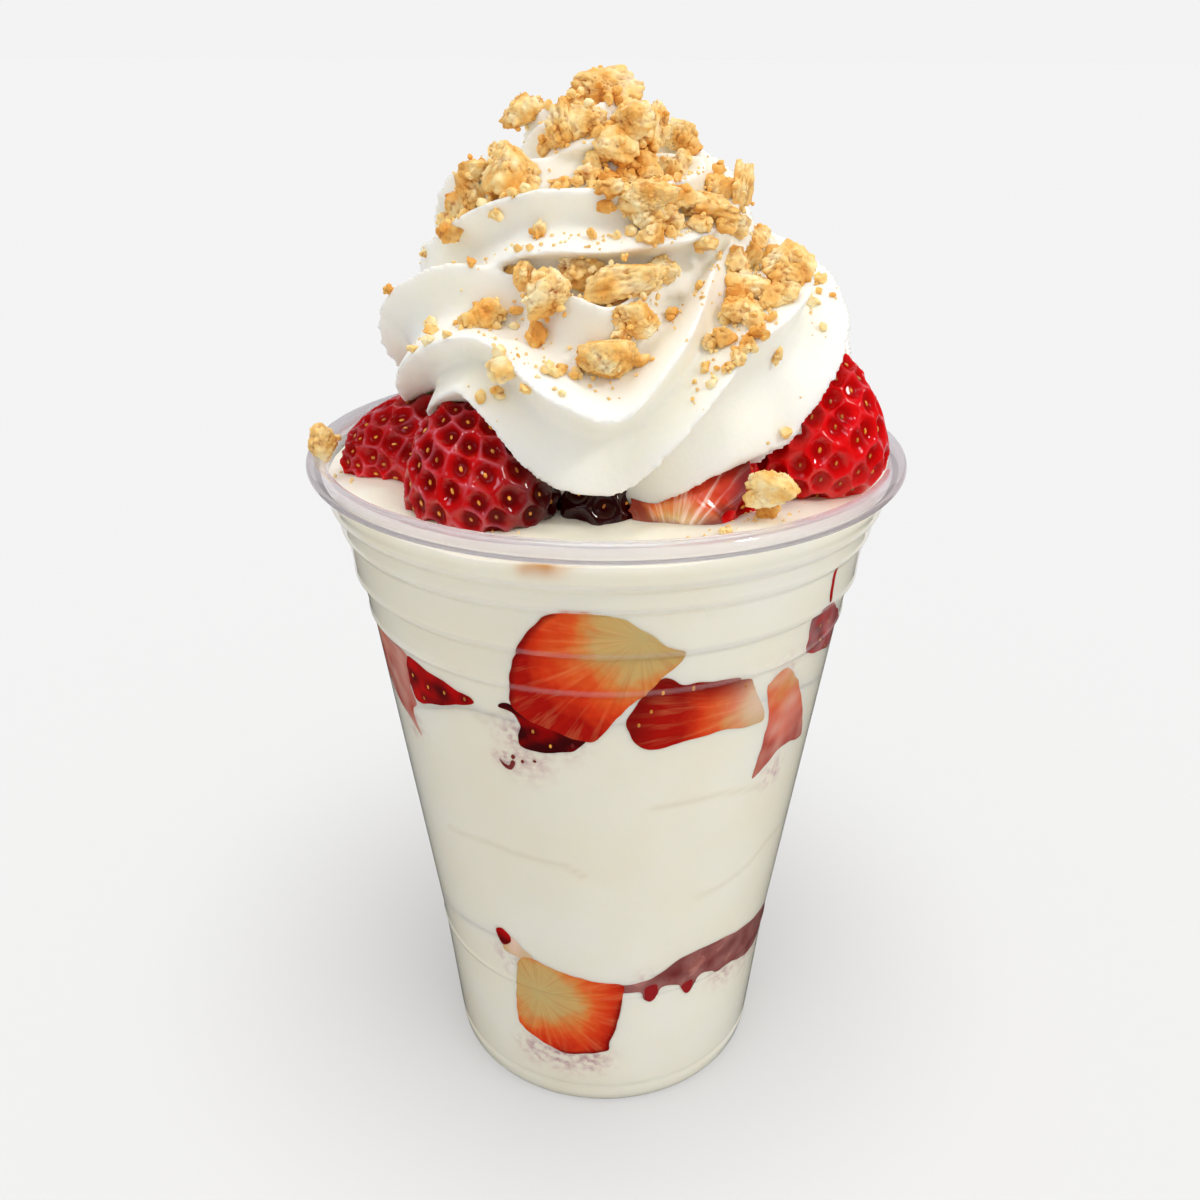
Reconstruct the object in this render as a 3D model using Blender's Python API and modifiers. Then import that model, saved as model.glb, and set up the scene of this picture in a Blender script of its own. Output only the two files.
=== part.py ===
"""Strawberries and whipped cream in a clear tumbler.

A turned clear tumbler holds three bodies of soft cream with two strawberry layers
between them. Cut strawberries press against the wall, whole and cut ones lie on the
top cream, and a piped swirl of whipped cream stands on them. Metres, +Z up, with the
origin at the middle of the foot.
"""

import math

import bmesh
import bpy
from mathutils import Matrix, Vector

MM = 0.001

# Tumbler
RIM_RADIUS = 49.0
TUMBLER_HEIGHT = 120.0
WALL = 0.6
RIM_ROLL_RADIUS = 1.35
FOOT_RADIUS = 28.6
FOOT_BAND_HEIGHT = 4.2
FOOT_GROOVE = 0.35
STANDING_RING_WIDTH = 2.6
HEEL_RADIUS = 1.2
BASE_RECESS = 1.4
BEAD_HEIGHT = 28.1
LOWER_TAPER = 0.10
UPPER_TAPER = 0.1375
# Stacking rings: height of each step and how far it stands out.
STEPS = ((93.2, 0.35), (100.2, 0.9), (108.0, 0.55), (112.0, 0.85))
STEP_DROP = 0.5
STEP_EASE = 0.3
GROOVE_RISE = 0.3
GROOVE_TOP = 0.8
RECESS_SLOPE = 1.0
NECK_HEIGHT = 114.6
FACETS = 32

# Gaps between pieces
GAP = 0.3
POCKET_GAP = 0.45
FILL_GAP = 0.4
WALL_SETBACK = 0.25
CUTTER_OVERRUN = 1.6
FLAT_ANGLE = 2.0
MERGE_DISTANCE = 0.00001

# Cream
TOP_CREAM_LEVEL = 116.3
CREAM_HEEL = 2.8
CREAM_INNER_RING = 0.55
SWIRL_FOOT_LEVEL = 117.1
# Where two creams meet at the wall: degrees round it and millimetres of height.
LOWER_SEAM = ((-180, 33), (-125, 38.2), (-110, 33.5), (-84, 30.2), (-55, 31.6), (-20, 30), (60, 33),
              (120, 29))
UPPER_SEAM = ((-180, 84), (-143, 83), (-120, 87.8), (-108, 87.5), (-84, 88.5), (-50, 88), (-20, 84),
              (60, 89), (120, 82))

# Cut strawberries at the wall: corners of each outline as degrees round the wall and
# millimetres of height, and how deep the piece reaches into the cream.
WALL_BERRIES = {
    "upper_half": (11, ((-111, 92), (-107.5, 100.5), (-102, 107), (-91, 108.1), (-83, 105.2),
                        (-73.5, 99.8), (-79.5, 93), (-86.5, 87.8), (-92.5, 84.6), (-100, 87.2),
                        (-107, 89))),
    "upper_wedge": (8, ((-84, 87.9), (-79.6, 91.4), (-75.4, 95.2), (-67, 93.4), (-58.5, 93), (-52, 86.7),
                        (-50.5, 83.6), (-62, 83.9), (-75, 83.1), (-83, 84.6))),
    "upper_dark": (8, ((-115.5, 88.4), (-112.5, 90.2), (-107, 88.1), (-100, 86.2), (-95.5, 84.2),
                       (-100, 82.7), (-107.5, 81.8), (-109.2, 85.6))),
    "upper_left_pale": (9, ((-166, 91), (-155, 92.6), (-143.5, 92.6), (-142, 86), (-143.5, 79),
                            (-147, 75.6), (-157, 80), (-167, 84))),
    "upper_left_red": (9, ((-140.4, 91.9), (-133, 90.6), (-126, 89.6), (-120.6, 88.3), (-126, 86.4),
                           (-133, 84.7), (-139, 83.8))),
    "upper_right_pale": (8, ((-49.6, 89.8), (-44.8, 92.2), (-36.7, 85), (-29, 78.6), (-23, 71.4),
                             (-36.5, 73.4), (-49.2, 71.8), (-47.6, 78), (-47.6, 84.4))),
    "upper_right_edge": (8, ((-40.2, 93.4), (-38.9, 95.8), (-40, 99.4), (-36.5, 101), (-27.5, 97.5),
                             (-18, 91), (-24, 87.8), (-33, 89.9))),
    "upper_right_streak": (5, ((-38.4, 107.8), (-35.6, 107.8), (-35, 102.4), (-37.4, 102.4))),
    "lower_cut": (10, ((-121.5, 19), (-120, 27), (-119.5, 34), (-113, 35.2), (-104, 33), (-95, 31.8),
                       (-85.5, 31.2), (-85, 23), (-88, 14.3), (-99, 13.2), (-112, 15), (-118, 16))),
    "lower_chip": (4, ((-125.2, 39.2), (-122.2, 40.2), (-116.4, 37.6), (-118.4, 36), (-123.4, 36.4))),
}
# The same on the side away from the front: middle in degrees and millimetres, length,
# width, tilt of the long axis, and depth.
BACK_BERRIES = {
    "upper_back_a": (2, 84, 21, 17, 25, 9),
    "upper_back_b": (34, 91, 24, 15, -15, 9),
    "upper_back_c": (66, 85, 19, 15, 60, 9),
    "upper_back_d": (97, 90, 24, 18, 10, 10),
    "upper_back_e": (131, 83, 20, 13, -35, 8),
    "upper_back_f": (163, 90, 22, 14, 15, 9),
    "lower_back_a": (48, 24, 20, 14, -20, 9),
    "lower_back_b": (118, 31, 22, 15, 15, 9),
    "lower_back_c": (178, 27, 18, 13, 30, 8),
}
OUTLINE_CORNERS = 9
TEARDROP_TAPER = 0.35
# The rings of a berry at the wall, from its flat face inwards: share of the outline and
# share of the depth.
WALL_BERRY_RINGS = ((0.0, 0.0), (0.62, 0.0), (1.0, 0.0), (0.8, 1.0), (0.0, 1.0))
# A cutter's outline is moved out by more than its gap, and its corners by no more than
# the gap divided by this.
OUTLINE_GROWTH = 1.2
SHARPEST_CORNER = 0.45

# Chopped strawberries between the creams: thickness in the middle, and the arcs of the
# wall that they reach.
LOWER_CHOPPED = (4.6, ((-81, 20),))
UPPER_CHOPPED = (6.0, ())
CHOPPED_SETBACK = 12.0
CHOPPED_BLEND = 12.0
CHOPPED_FACETS = 20
CHOPPED_THINNING = 0.15
# Lumps round the disc: count, starting angle, and height as a share of the thickness.
CHOPPED_LUMPS = ((7, 0, 0.12), (11, 40, 0.10))
CHOPPED_RINGS = ((0.0, 1), (0.6, 1), (1.0, 1), (1.0, -1), (0.6, -1), (0.0, -1))

# Strawberries on top: middle, length, width, the way the tip points, and for a cut one
# the middle and direction of its flat face.
TOP_BERRIES = {
    "top_left": ((-29.8, -3.5, 117.0), 28, 24.5, (-0.92, -0.25, 0.1), ((-30, -4, 116.2), (0, 0, -1))),
    "top_front_left": ((-17.7, -24.8, 122.4), 23, 24, (-0.35, -0.1, 1.0), None),
    "top_front_dark": ((-1.0, -18.4, 116.0), 13, 11.5, (0.1, 1.0, 0.1), None),
    "top_front_cut": ((12.8, -24.4, 118.6), 22, 17, (-0.9, -0.30, -0.32),
                      ((13.5, -28.6, 118.6), (-0.25, -0.75, 0.6))),
    "top_right": ((32.3, -11.6, 125.0), 25, 23, (0.14, -0.10, 0.95), None),
    "top_back_right": ((26.0, 20.5, 124.0), 24, 21, (0.5, 0.4, 0.8), None),
    "top_back": ((2.0, 31.5, 122.5), 25, 21, (-0.8, 0.5, 0.3), None),
    "top_back_left": ((-24.0, 23.5, 122.5), 22, 21, (-0.2, 0.4, 0.9), None),
}
BERRY_TAPER = 0.22
BERRY_ROUNDING = 0.10
BERRY_SEGMENTS = 10
BERRY_RINGS = 6

# Piped swirl: angle round the tumbler, radius of the rope's path, height of its middle,
# radius of the rope, and the angle of its leading ridge about the rope.
SWIRL_STATIONS = (
    (-300, 17, 131, 10, -150),
    (-225, 20, 136.5, 14.5, -85),
    (-180, 21, 138, 15.5, -48),
    (-140, 21, 136.5, 15.5, 8),
    (-120, 20.5, 134.5, 16, 30),
    (-100, 20.5, 133, 17, 8),
    (-85, 20.5, 132.5, 17, 4),
    (-57, 21, 134, 17, 70),
    (-30, 22.5, 137, 17, 95),
    (0, 22.5, 138, 16.5, 130),
    (60, 20, 142, 15, 200),
    (120, 17.5, 147.5, 13.5, 275),
    (180, 15.5, 152, 13.5, 345),
    (240, 13.5, 152.5, 12.5, 402),
    (315, 12, 153.5, 12, 415),
    (360, 11, 155.5, 12, 455),
    (480, 7, 161.5, 9.5, 600),
    (590, 5, 164.5, 8, 718),
    (700, 2.5, 167.5, 6, 830),
    (760, 1, 170.5, 3, 910),
)
RIDGE_ANGLES = (-80, -43, 0, 55, 100, 145, 190, 235)
FLUTE_DEPTH = 0.29
FLUTE_LEAN = 1.25
FLUTE_FULLNESS = 0.8
POINTS_PER_FLUTE = 4
SWIRL_STEP = 6
CORE_LOWER_RADIUS = 20.0
CORE_UPPER_RADIUS = 4.0
CORE_TOP = 160.0
SWIRL_CELL = 0.0011
SWIRL_TRIANGLES = 1080


def interpolate(table, x):
    """The value at x between the rows of a table of pairs, by smooth steps without overshoot."""
    if x <= table[0][0]:
        return table[0][1]
    for (x0, y0), (x1, y1) in zip(table, table[1:]):
        if x <= x1:
            share = (x - x0) / (x1 - x0)
            return y0 + (y1 - y0) * share * share * (3 - 2 * share)
    return table[-1][1]


def around(table, degrees):
    """The value at an angle of a table that closes on itself after a turn."""
    start = table[0][0]
    return interpolate(table + ((start + 360, table[0][1]),), start + (degrees - start) % 360)


def outer_radius(height):
    """Radius of the tumbler's outer face, from the foot to the neck."""
    lower = FOOT_RADIUS + LOWER_TAPER * min(height, BEAD_HEIGHT)
    upper = UPPER_TAPER * max(0.0, min(height, NECK_HEIGHT) - BEAD_HEIGHT)
    return lower + upper + sum(step for place, step in STEPS if height >= place)


def fill_radius(height):
    """Largest radius that the contents may have: it stays under the steps of the wall."""
    under_steps = FOOT_RADIUS + LOWER_TAPER * min(height, BEAD_HEIGHT)
    under_steps += UPPER_TAPER * max(0.0, height - BEAD_HEIGHT)
    return min(under_steps, outer_radius(height)) - WALL - FILL_GAP


def arc(centre, radius, start, end, count):
    """Points of an arc in the profile's plane, angles in degrees."""
    points = []
    for index in range(count + 1):
        angle = math.radians(start + (end - start) * index / count)
        points.append((centre[0] + radius * math.cos(angle), centre[1] + radius * math.sin(angle)))
    return points


def clear_scene():
    for obj in list(bpy.data.objects):
        bpy.data.objects.remove(obj, do_unlink=True)


def material(name, color, roughness, alpha=1.0):
    made = bpy.data.materials.new(name)
    made.use_nodes = True
    shader = made.node_tree.nodes["Principled BSDF"]
    shader.inputs["Base Color"].default_value = (*color, 1.0)
    shader.inputs["Roughness"].default_value = roughness
    shader.inputs["Metallic"].default_value = 0.0
    shader.inputs["Alpha"].default_value = alpha
    made.diffuse_color = (*color, alpha)
    return made


def place_object(name, mesh, finish, collection, smooth_angle=40):
    """Adds a mesh to a collection under the sub-part's name."""
    mesh.name = name
    mesh.materials.clear()
    mesh.materials.append(finish)
    mesh.shade_smooth()
    mesh.set_sharp_from_angle(angle=math.radians(smooth_angle))
    obj = bpy.data.objects.new(name, mesh)
    collection.objects.link(obj)
    return obj


def mesh_from(bm, name):
    """A mesh with its faces turned outwards, and the bmesh freed."""
    bmesh.ops.recalc_face_normals(bm, faces=bm.faces)
    mesh = bpy.data.meshes.new(name)
    bm.to_mesh(mesh)
    bm.free()
    return mesh


def tumbler_profile():
    """Outline of the wall, down the outer side from the rolled rim and up the inner side."""
    roll_centre = (RIM_RADIUS - RIM_ROLL_RADIUS - WALL / 2, TUMBLER_HEIGHT - RIM_ROLL_RADIUS - WALL / 2)
    neck_outer = roll_centre[0] - RIM_ROLL_RADIUS + WALL / 2
    outer = arc(roll_centre, RIM_ROLL_RADIUS + WALL / 2, 90, -60, 3)
    outer += arc(roll_centre, RIM_ROLL_RADIUS - WALL / 2, -60, 180, 4)
    outer.append((neck_outer, NECK_HEIGHT))
    for place, step in reversed(STEPS):
        outer.append((outer_radius(place), place))
        outer.append((outer_radius(place) - step, place - STEP_DROP))
    outer.append((outer_radius(BEAD_HEIGHT), BEAD_HEIGHT))
    over_groove = outer_radius(FOOT_BAND_HEIGHT + GROOVE_TOP)
    in_groove = outer_radius(FOOT_BAND_HEIGHT) - FOOT_GROOVE
    outer.append((over_groove, FOOT_BAND_HEIGHT + GROOVE_TOP))
    outer.append((in_groove, FOOT_BAND_HEIGHT + GROOVE_RISE))
    outer.append((outer_radius(FOOT_BAND_HEIGHT), FOOT_BAND_HEIGHT - GROOVE_RISE))
    outer += arc((FOOT_RADIUS - HEEL_RADIUS, HEEL_RADIUS), HEEL_RADIUS, 0, -90, 2)
    ring_inner = FOOT_RADIUS - HEEL_RADIUS - STANDING_RING_WIDTH
    outer.append((ring_inner, 0.0))
    outer.append((ring_inner - RECESS_SLOPE, BASE_RECESS))
    outer.append((0.0, BASE_RECESS))
    inner = [(0.0, BASE_RECESS + WALL), (FOOT_RADIUS - HEEL_RADIUS - WALL, BASE_RECESS + WALL)]
    inner.append((in_groove - WALL, FOOT_BAND_HEIGHT - GROOVE_RISE))
    inner.append((over_groove - WALL, FOOT_BAND_HEIGHT + 2 * GROOVE_TOP))
    inner.append((outer_radius(BEAD_HEIGHT) - WALL, BEAD_HEIGHT))
    for place, step in STEPS:
        inner.append((outer_radius(place) - step - WALL, place - STEP_EASE))
        inner.append((outer_radius(place) - WALL, place + STEP_EASE))
    inner.append((neck_outer - WALL, NECK_HEIGHT + STEP_EASE))
    inner += arc(roll_centre, RIM_ROLL_RADIUS + WALL / 2, 180, 90, 2)[:-1]
    return outer + inner


def build_tumbler(finish, collection):
    """The wall, rim, rings and foot as one turned piece."""
    bm = bmesh.new()
    verts = [bm.verts.new((radius * MM, 0.0, height * MM)) for radius, height in tumbler_profile()]
    for start, end in zip(verts, verts[1:] + verts[:1]):
        if start.co.x > 0 or end.co.x > 0:
            bm.edges.new((start, end))
    mesh = bpy.data.meshes.new("tumbler")
    bm.to_mesh(mesh)
    bm.free()
    tumbler = place_object("tumbler", mesh, finish, collection)
    screw = tumbler.modifiers.new("Turned", "SCREW")
    screw.axis = "Z"
    screw.steps = FACETS
    screw.render_steps = FACETS
    screw.use_merge_vertices = True
    screw.merge_threshold = MERGE_DISTANCE
    screw.use_smooth_shade = True
    return tumbler


def lathe_grid(rings, segments, place):
    """A closed body of rings: place(ring, degrees) gives each point, and rings 0 and last are poles."""
    bm = bmesh.new()
    bmesh.ops.create_uvsphere(bm, u_segments=segments, v_segments=rings, radius=1.0)
    for vert in bm.verts:
        ring = round(math.acos(max(-1.0, min(1.0, vert.co.z))) / math.pi * rings)
        degrees = math.degrees(math.atan2(vert.co.y, vert.co.x)) if 0 < ring < rings else 0.0
        vert.co = Vector(place(ring, degrees)) * MM
    bmesh.ops.triangulate(bm, faces=bm.faces)
    return bm


def polar(radius, degrees, height):
    """A point from its distance to the axis, its angle and its height."""
    angle = math.radians(degrees)
    return (radius * math.cos(angle), radius * math.sin(angle), height)


def cream_body(bottom, top, heel=0.0):
    """A filling between two heights, each a function of the angle and the share of the radius."""
    rings = [(top, 0.0, 0.0), (top, CREAM_INNER_RING, 0.0), (top, 1.0, 0.0)]
    rings += [(bottom, 1.0, heel), (bottom, CREAM_INNER_RING, 0.0)]
    if heel:
        rings.insert(4, (bottom, 1.0 - heel / FOOT_RADIUS, 0.0))
    rings.append((bottom, 0.0, 0.0))

    def place(ring, degrees):
        level, share, rise = rings[ring]
        height = level(degrees, share) + rise
        return polar(share * fill_radius(height), degrees, height)

    return lathe_grid(len(rings) - 1, FACETS, place)


def seam(table, offset):
    """Height of the meeting of two creams: uneven at the wall, and its mean in the middle."""
    mean = sum(row[1] for row in table) / len(table)

    def level(degrees, share):
        return mean + (around(table, degrees) - mean) * share * share + offset

    return level


def chopped_layer(table, thickness, arcs, grow=0.0):
    """A disc of chopped berries that follows a seam and reaches the wall along the given arcs."""
    level = seam(table, 0.0)

    def reach(degrees):
        setback = CHOPPED_SETBACK
        for start, end in arcs:
            outside = max(start - degrees, degrees - end, 0.0)
            setback = min(setback, CHOPPED_SETBACK * min(1.0, outside / CHOPPED_BLEND))
        return setback

    def place(ring, degrees):
        share, side = CHOPPED_RINGS[ring]
        middle = level(degrees, share)
        lumps = sum(size * math.sin(math.radians(count * degrees + start))
                    for count, start, size in CHOPPED_LUMPS)
        half = thickness / 2 * (1.0 - CHOPPED_THINNING * share + lumps * share) + grow
        rim = fill_radius(middle) - WALL_SETBACK - reach(degrees)
        if grow:
            rim += grow if reach(degrees) > GAP else CUTTER_OVERRUN
        return polar(share * rim, degrees, middle + side * half)

    return lathe_grid(len(CHOPPED_RINGS) - 1, CHOPPED_FACETS, place)


def widened(corners, by):
    """A flat outline with every side moved outwards by the same distance."""
    moved = []
    for before, here, after in zip(corners[-1:] + corners[:-1], corners, corners[1:] + corners[:1]):
        arriving = (here - before).normalized()
        leaving = (after - here).normalized()
        outward = Vector((arriving.y + leaving.y, -arriving.x - leaving.x)).normalized()
        sharpness = max(SHARPEST_CORNER, outward.dot(Vector((leaving.y, -leaving.x))))
        moved.append(here + outward * (by / sharpness))
    return moved


def wall_berry(outline, depth, grow=0.0):
    """A cut berry whose flat face lies along the wall. A grown one also passes through it."""
    centre_angle = sum(corner[0] for corner in outline) / len(outline)
    centre_height = sum(corner[1] for corner in outline) / len(outline)
    radius = fill_radius(centre_height)
    flat = [Vector((math.radians(degrees - centre_angle) * radius, height - centre_height))
            for degrees, height in outline]
    if sum(a.cross(b) for a, b in zip(flat, flat[1:] + flat[:1])) < 0:
        flat.reverse()

    def place(ring, turn):
        share, inward = WALL_BERRY_RINGS[ring]
        corners = [corner * share for corner in flat]
        if grow and share:
            corners = widened(corners, OUTLINE_GROWTH * grow)
        corner = corners[round(turn / 360 * len(flat)) % len(flat)]
        if not share:
            corner = Vector((0.0, 0.0))
        height = centre_height + corner.y
        angle = centre_angle + math.degrees(corner.x / radius)
        behind_wall = WALL_SETBACK * (1 - inward) + depth * inward + grow * inward
        if grow and inward == 0.0:
            behind_wall = -CUTTER_OVERRUN
        return polar(fill_radius(height) - behind_wall, angle, height)

    return lathe_grid(len(WALL_BERRY_RINGS) - 1, len(flat), place)


def teardrop(middle, length, width, tilt):
    """Corners of a berry's outline on the wall, in degrees and millimetres, pointed at one end."""
    degrees, height = middle
    corners = []
    for index in range(OUTLINE_CORNERS):
        turn = -2 * math.pi * index / OUTLINE_CORNERS
        along = length / 2 * math.cos(turn)
        across = width / 2 * math.sin(turn) * (1.0 - TEARDROP_TAPER * math.cos(turn))
        lean = math.radians(tilt)
        sideways = along * math.cos(lean) - across * math.sin(lean)
        upwards = along * math.sin(lean) + across * math.cos(lean)
        corners.append((degrees + math.degrees(sideways / fill_radius(height)), height + upwards))
    return tuple(corners)


def strawberry(middle, length, width, tip, cut, grow=0.0):
    """A whole berry, blunt at one end and pointed at the other, or one with a flat cut face."""
    bm = bmesh.new()
    bmesh.ops.create_uvsphere(bm, u_segments=BERRY_SEGMENTS, v_segments=BERRY_RINGS, radius=1.0)
    for vert in bm.verts:
        along = vert.co.z
        girth = 1.0 - BERRY_TAPER * along - BERRY_ROUNDING * along * along
        vert.co.x *= (width / 2 * girth + grow) * MM
        vert.co.y *= (width / 2 * girth + grow) * MM
        vert.co.z *= (length / 2 + grow) * MM
    turn = Vector(tip).normalized().to_track_quat("Z", "Y").to_matrix().to_4x4()
    bmesh.ops.transform(bm, matrix=Matrix.Translation(Vector(middle) * MM) @ turn, verts=bm.verts)
    if cut:
        flat_middle, flat_normal = cut
        normal = Vector(flat_normal).normalized()
        everything = bm.verts[:] + bm.edges[:] + bm.faces[:]
        found = bmesh.ops.bisect_plane(
            bm,
            geom=everything,
            plane_co=(Vector(flat_middle) + normal * grow) * MM,
            plane_no=normal,
            clear_outer=True,
        )
        rim = [item for item in found["geom_cut"] if isinstance(item, bmesh.types.BMEdge)]
        bmesh.ops.contextual_create(bm, geom=rim)
    bmesh.ops.triangulate(bm, faces=bm.faces)
    return bm


def swirl_station(degrees):
    """Path radius, height, rope radius and ridge angle at an angle round the tumbler."""
    columns = [[(row[0], row[column]) for row in SWIRL_STATIONS] for column in range(1, 5)]
    return [interpolate(column, degrees) for column in columns]


def rope_section(degrees):
    """Points of the fluted rope where its path has come to an angle."""
    path, height, radius, lead = swirl_station(degrees)
    points = []
    ridges = RIDGE_ANGLES + (RIDGE_ANGLES[0] + 360,)
    for start, end in zip(ridges, ridges[1:]):
        for index in range(POINTS_PER_FLUTE):
            share = index / POINTS_PER_FLUTE
            dip = FLUTE_DEPTH * math.sin(math.pi * share ** FLUTE_LEAN) ** FLUTE_FULLNESS
            angle = math.radians(lead + start + (end - start) * share)
            reach = radius * (1.0 - dip)
            points.append(polar(path + reach * math.cos(angle), degrees, height + reach * math.sin(angle)))
    return points


def swirl_mesh(collection):
    """The rope laid in a rising spiral over a core, merged into one skin and flat underneath."""
    bm = bmesh.new()
    first = SWIRL_STATIONS[0][0]
    last = SWIRL_STATIONS[-1][0]
    sections = []
    for index in range(int((last - first) / SWIRL_STEP) + 1):
        ring = [bm.verts.new(Vector(point) * MM) for point in rope_section(first + index * SWIRL_STEP)]
        edges = [bm.edges.new(pair) for pair in zip(ring, ring[1:] + ring[:1])]
        if sections:
            bmesh.ops.bridge_loops(bm, edges=sections[-1] + edges)
        sections.append(edges)
    for end in (sections[0], sections[-1]):
        bmesh.ops.contextual_create(bm, geom=end)
    bmesh.ops.recalc_face_normals(bm, faces=bm.faces)
    middle = (SWIRL_FOOT_LEVEL + CORE_TOP) / 2
    core = bmesh.ops.create_cone(
        bm,
        cap_ends=True,
        segments=FACETS,
        radius1=CORE_LOWER_RADIUS * MM,
        radius2=CORE_UPPER_RADIUS * MM,
        depth=(CORE_TOP - SWIRL_FOOT_LEVEL) * MM,
    )
    bmesh.ops.translate(bm, verts=core["verts"], vec=(0, 0, middle * MM))
    mesh = bpy.data.meshes.new("swirl rope")
    bm.to_mesh(mesh)
    bm.free()
    rope = bpy.data.objects.new("swirl rope", mesh)
    collection.objects.link(rope)
    skin = rope.modifiers.new("One skin", "REMESH")
    skin.mode = "VOXEL"
    skin.voxel_size = SWIRL_CELL
    merged = evaluated_mesh(rope)
    bpy.data.objects.remove(rope)
    for vert in merged.vertices:
        vert.co.z = max(vert.co.z, SWIRL_FOOT_LEVEL * MM)
    thinned = bpy.data.objects.new("swirl skin", merged)
    collection.objects.link(thinned)
    fewer = thinned.modifiers.new("Fewer faces", "DECIMATE")
    merged.calc_loop_triangles()
    fewer.ratio = SWIRL_TRIANGLES / len(merged.loop_triangles)
    light = evaluated_mesh(thinned)
    bpy.data.objects.remove(thinned)
    return light


def evaluated_mesh(obj):
    """A copy of the object's mesh with its modifiers applied."""
    graph = bpy.context.evaluated_depsgraph_get()
    graph.update()
    return bpy.data.meshes.new_from_object(obj.evaluated_get(graph))


def largest_body(mesh):
    """Keeps the connected body with the most points, without slivers or needless edges."""
    bm = bmesh.new()
    bm.from_mesh(mesh)
    bmesh.ops.triangulate(bm, faces=bm.faces)
    left = set(bm.verts)
    bodies = []
    while left:
        stack = [left.pop()]
        body = set(stack)
        while stack:
            for edge in stack.pop().link_edges:
                for vert in edge.verts:
                    if vert not in body:
                        body.add(vert)
                        stack.append(vert)
        left -= body
        bodies.append(body)
    bodies.sort(key=len)
    spare = [vert for body in bodies[:-1] for vert in body]
    bmesh.ops.delete(bm, geom=spare, context="VERTS")
    bmesh.ops.dissolve_degenerate(bm, dist=MERGE_DISTANCE, edges=bm.edges)
    bmesh.ops.dissolve_limit(bm, angle_limit=math.radians(FLAT_ANGLE), verts=bm.verts, edges=bm.edges)
    bmesh.ops.triangulate(bm, faces=bm.faces)
    bm.to_mesh(mesh)
    bm.free()
    return mesh


def cut_by(mesh, cutters, name, collection):
    """The mesh with each cutter taken out of it."""
    target = bpy.data.objects.new(name, mesh)
    collection.objects.link(target)
    for cutter in cutters:
        boolean = target.modifiers.new(cutter.name, "BOOLEAN")
        boolean.operation = "DIFFERENCE"
        boolean.solver = "EXACT"
        boolean.object = cutter
    result = evaluated_mesh(target)
    bpy.data.objects.remove(target)
    return largest_body(result)


def make_cutters(collection):
    """Grown copies of the berries and chopped layers, which leave the gap when they cut."""
    cutters = {}

    def add(name, bm):
        cutter = bpy.data.objects.new("cutter " + name, mesh_from(bm, "cutter " + name))
        cutter.hide_render = True
        cutter.display_type = "WIRE"
        collection.objects.link(cutter)
        cutters[name] = cutter

    for name, (depth, outline) in WALL_BERRIES.items():
        add(name, wall_berry(outline, depth, POCKET_GAP))
    for name, (degrees, height, length, width, tilt, depth) in BACK_BERRIES.items():
        add(name, wall_berry(teardrop((degrees, height), length, width, tilt), depth, POCKET_GAP))
    for name, (middle, length, width, tip, cut) in TOP_BERRIES.items():
        add(name, strawberry(middle, length, width, tip, cut, GAP))
    add("lower_chopped", chopped_layer(LOWER_SEAM, *LOWER_CHOPPED, GAP))
    add("upper_chopped", chopped_layer(UPPER_SEAM, *UPPER_CHOPPED, GAP))
    return cutters


def level_at(height):
    """A flat level, as the function of angle and share that a filling asks for."""
    return lambda degrees, share: height


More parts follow.
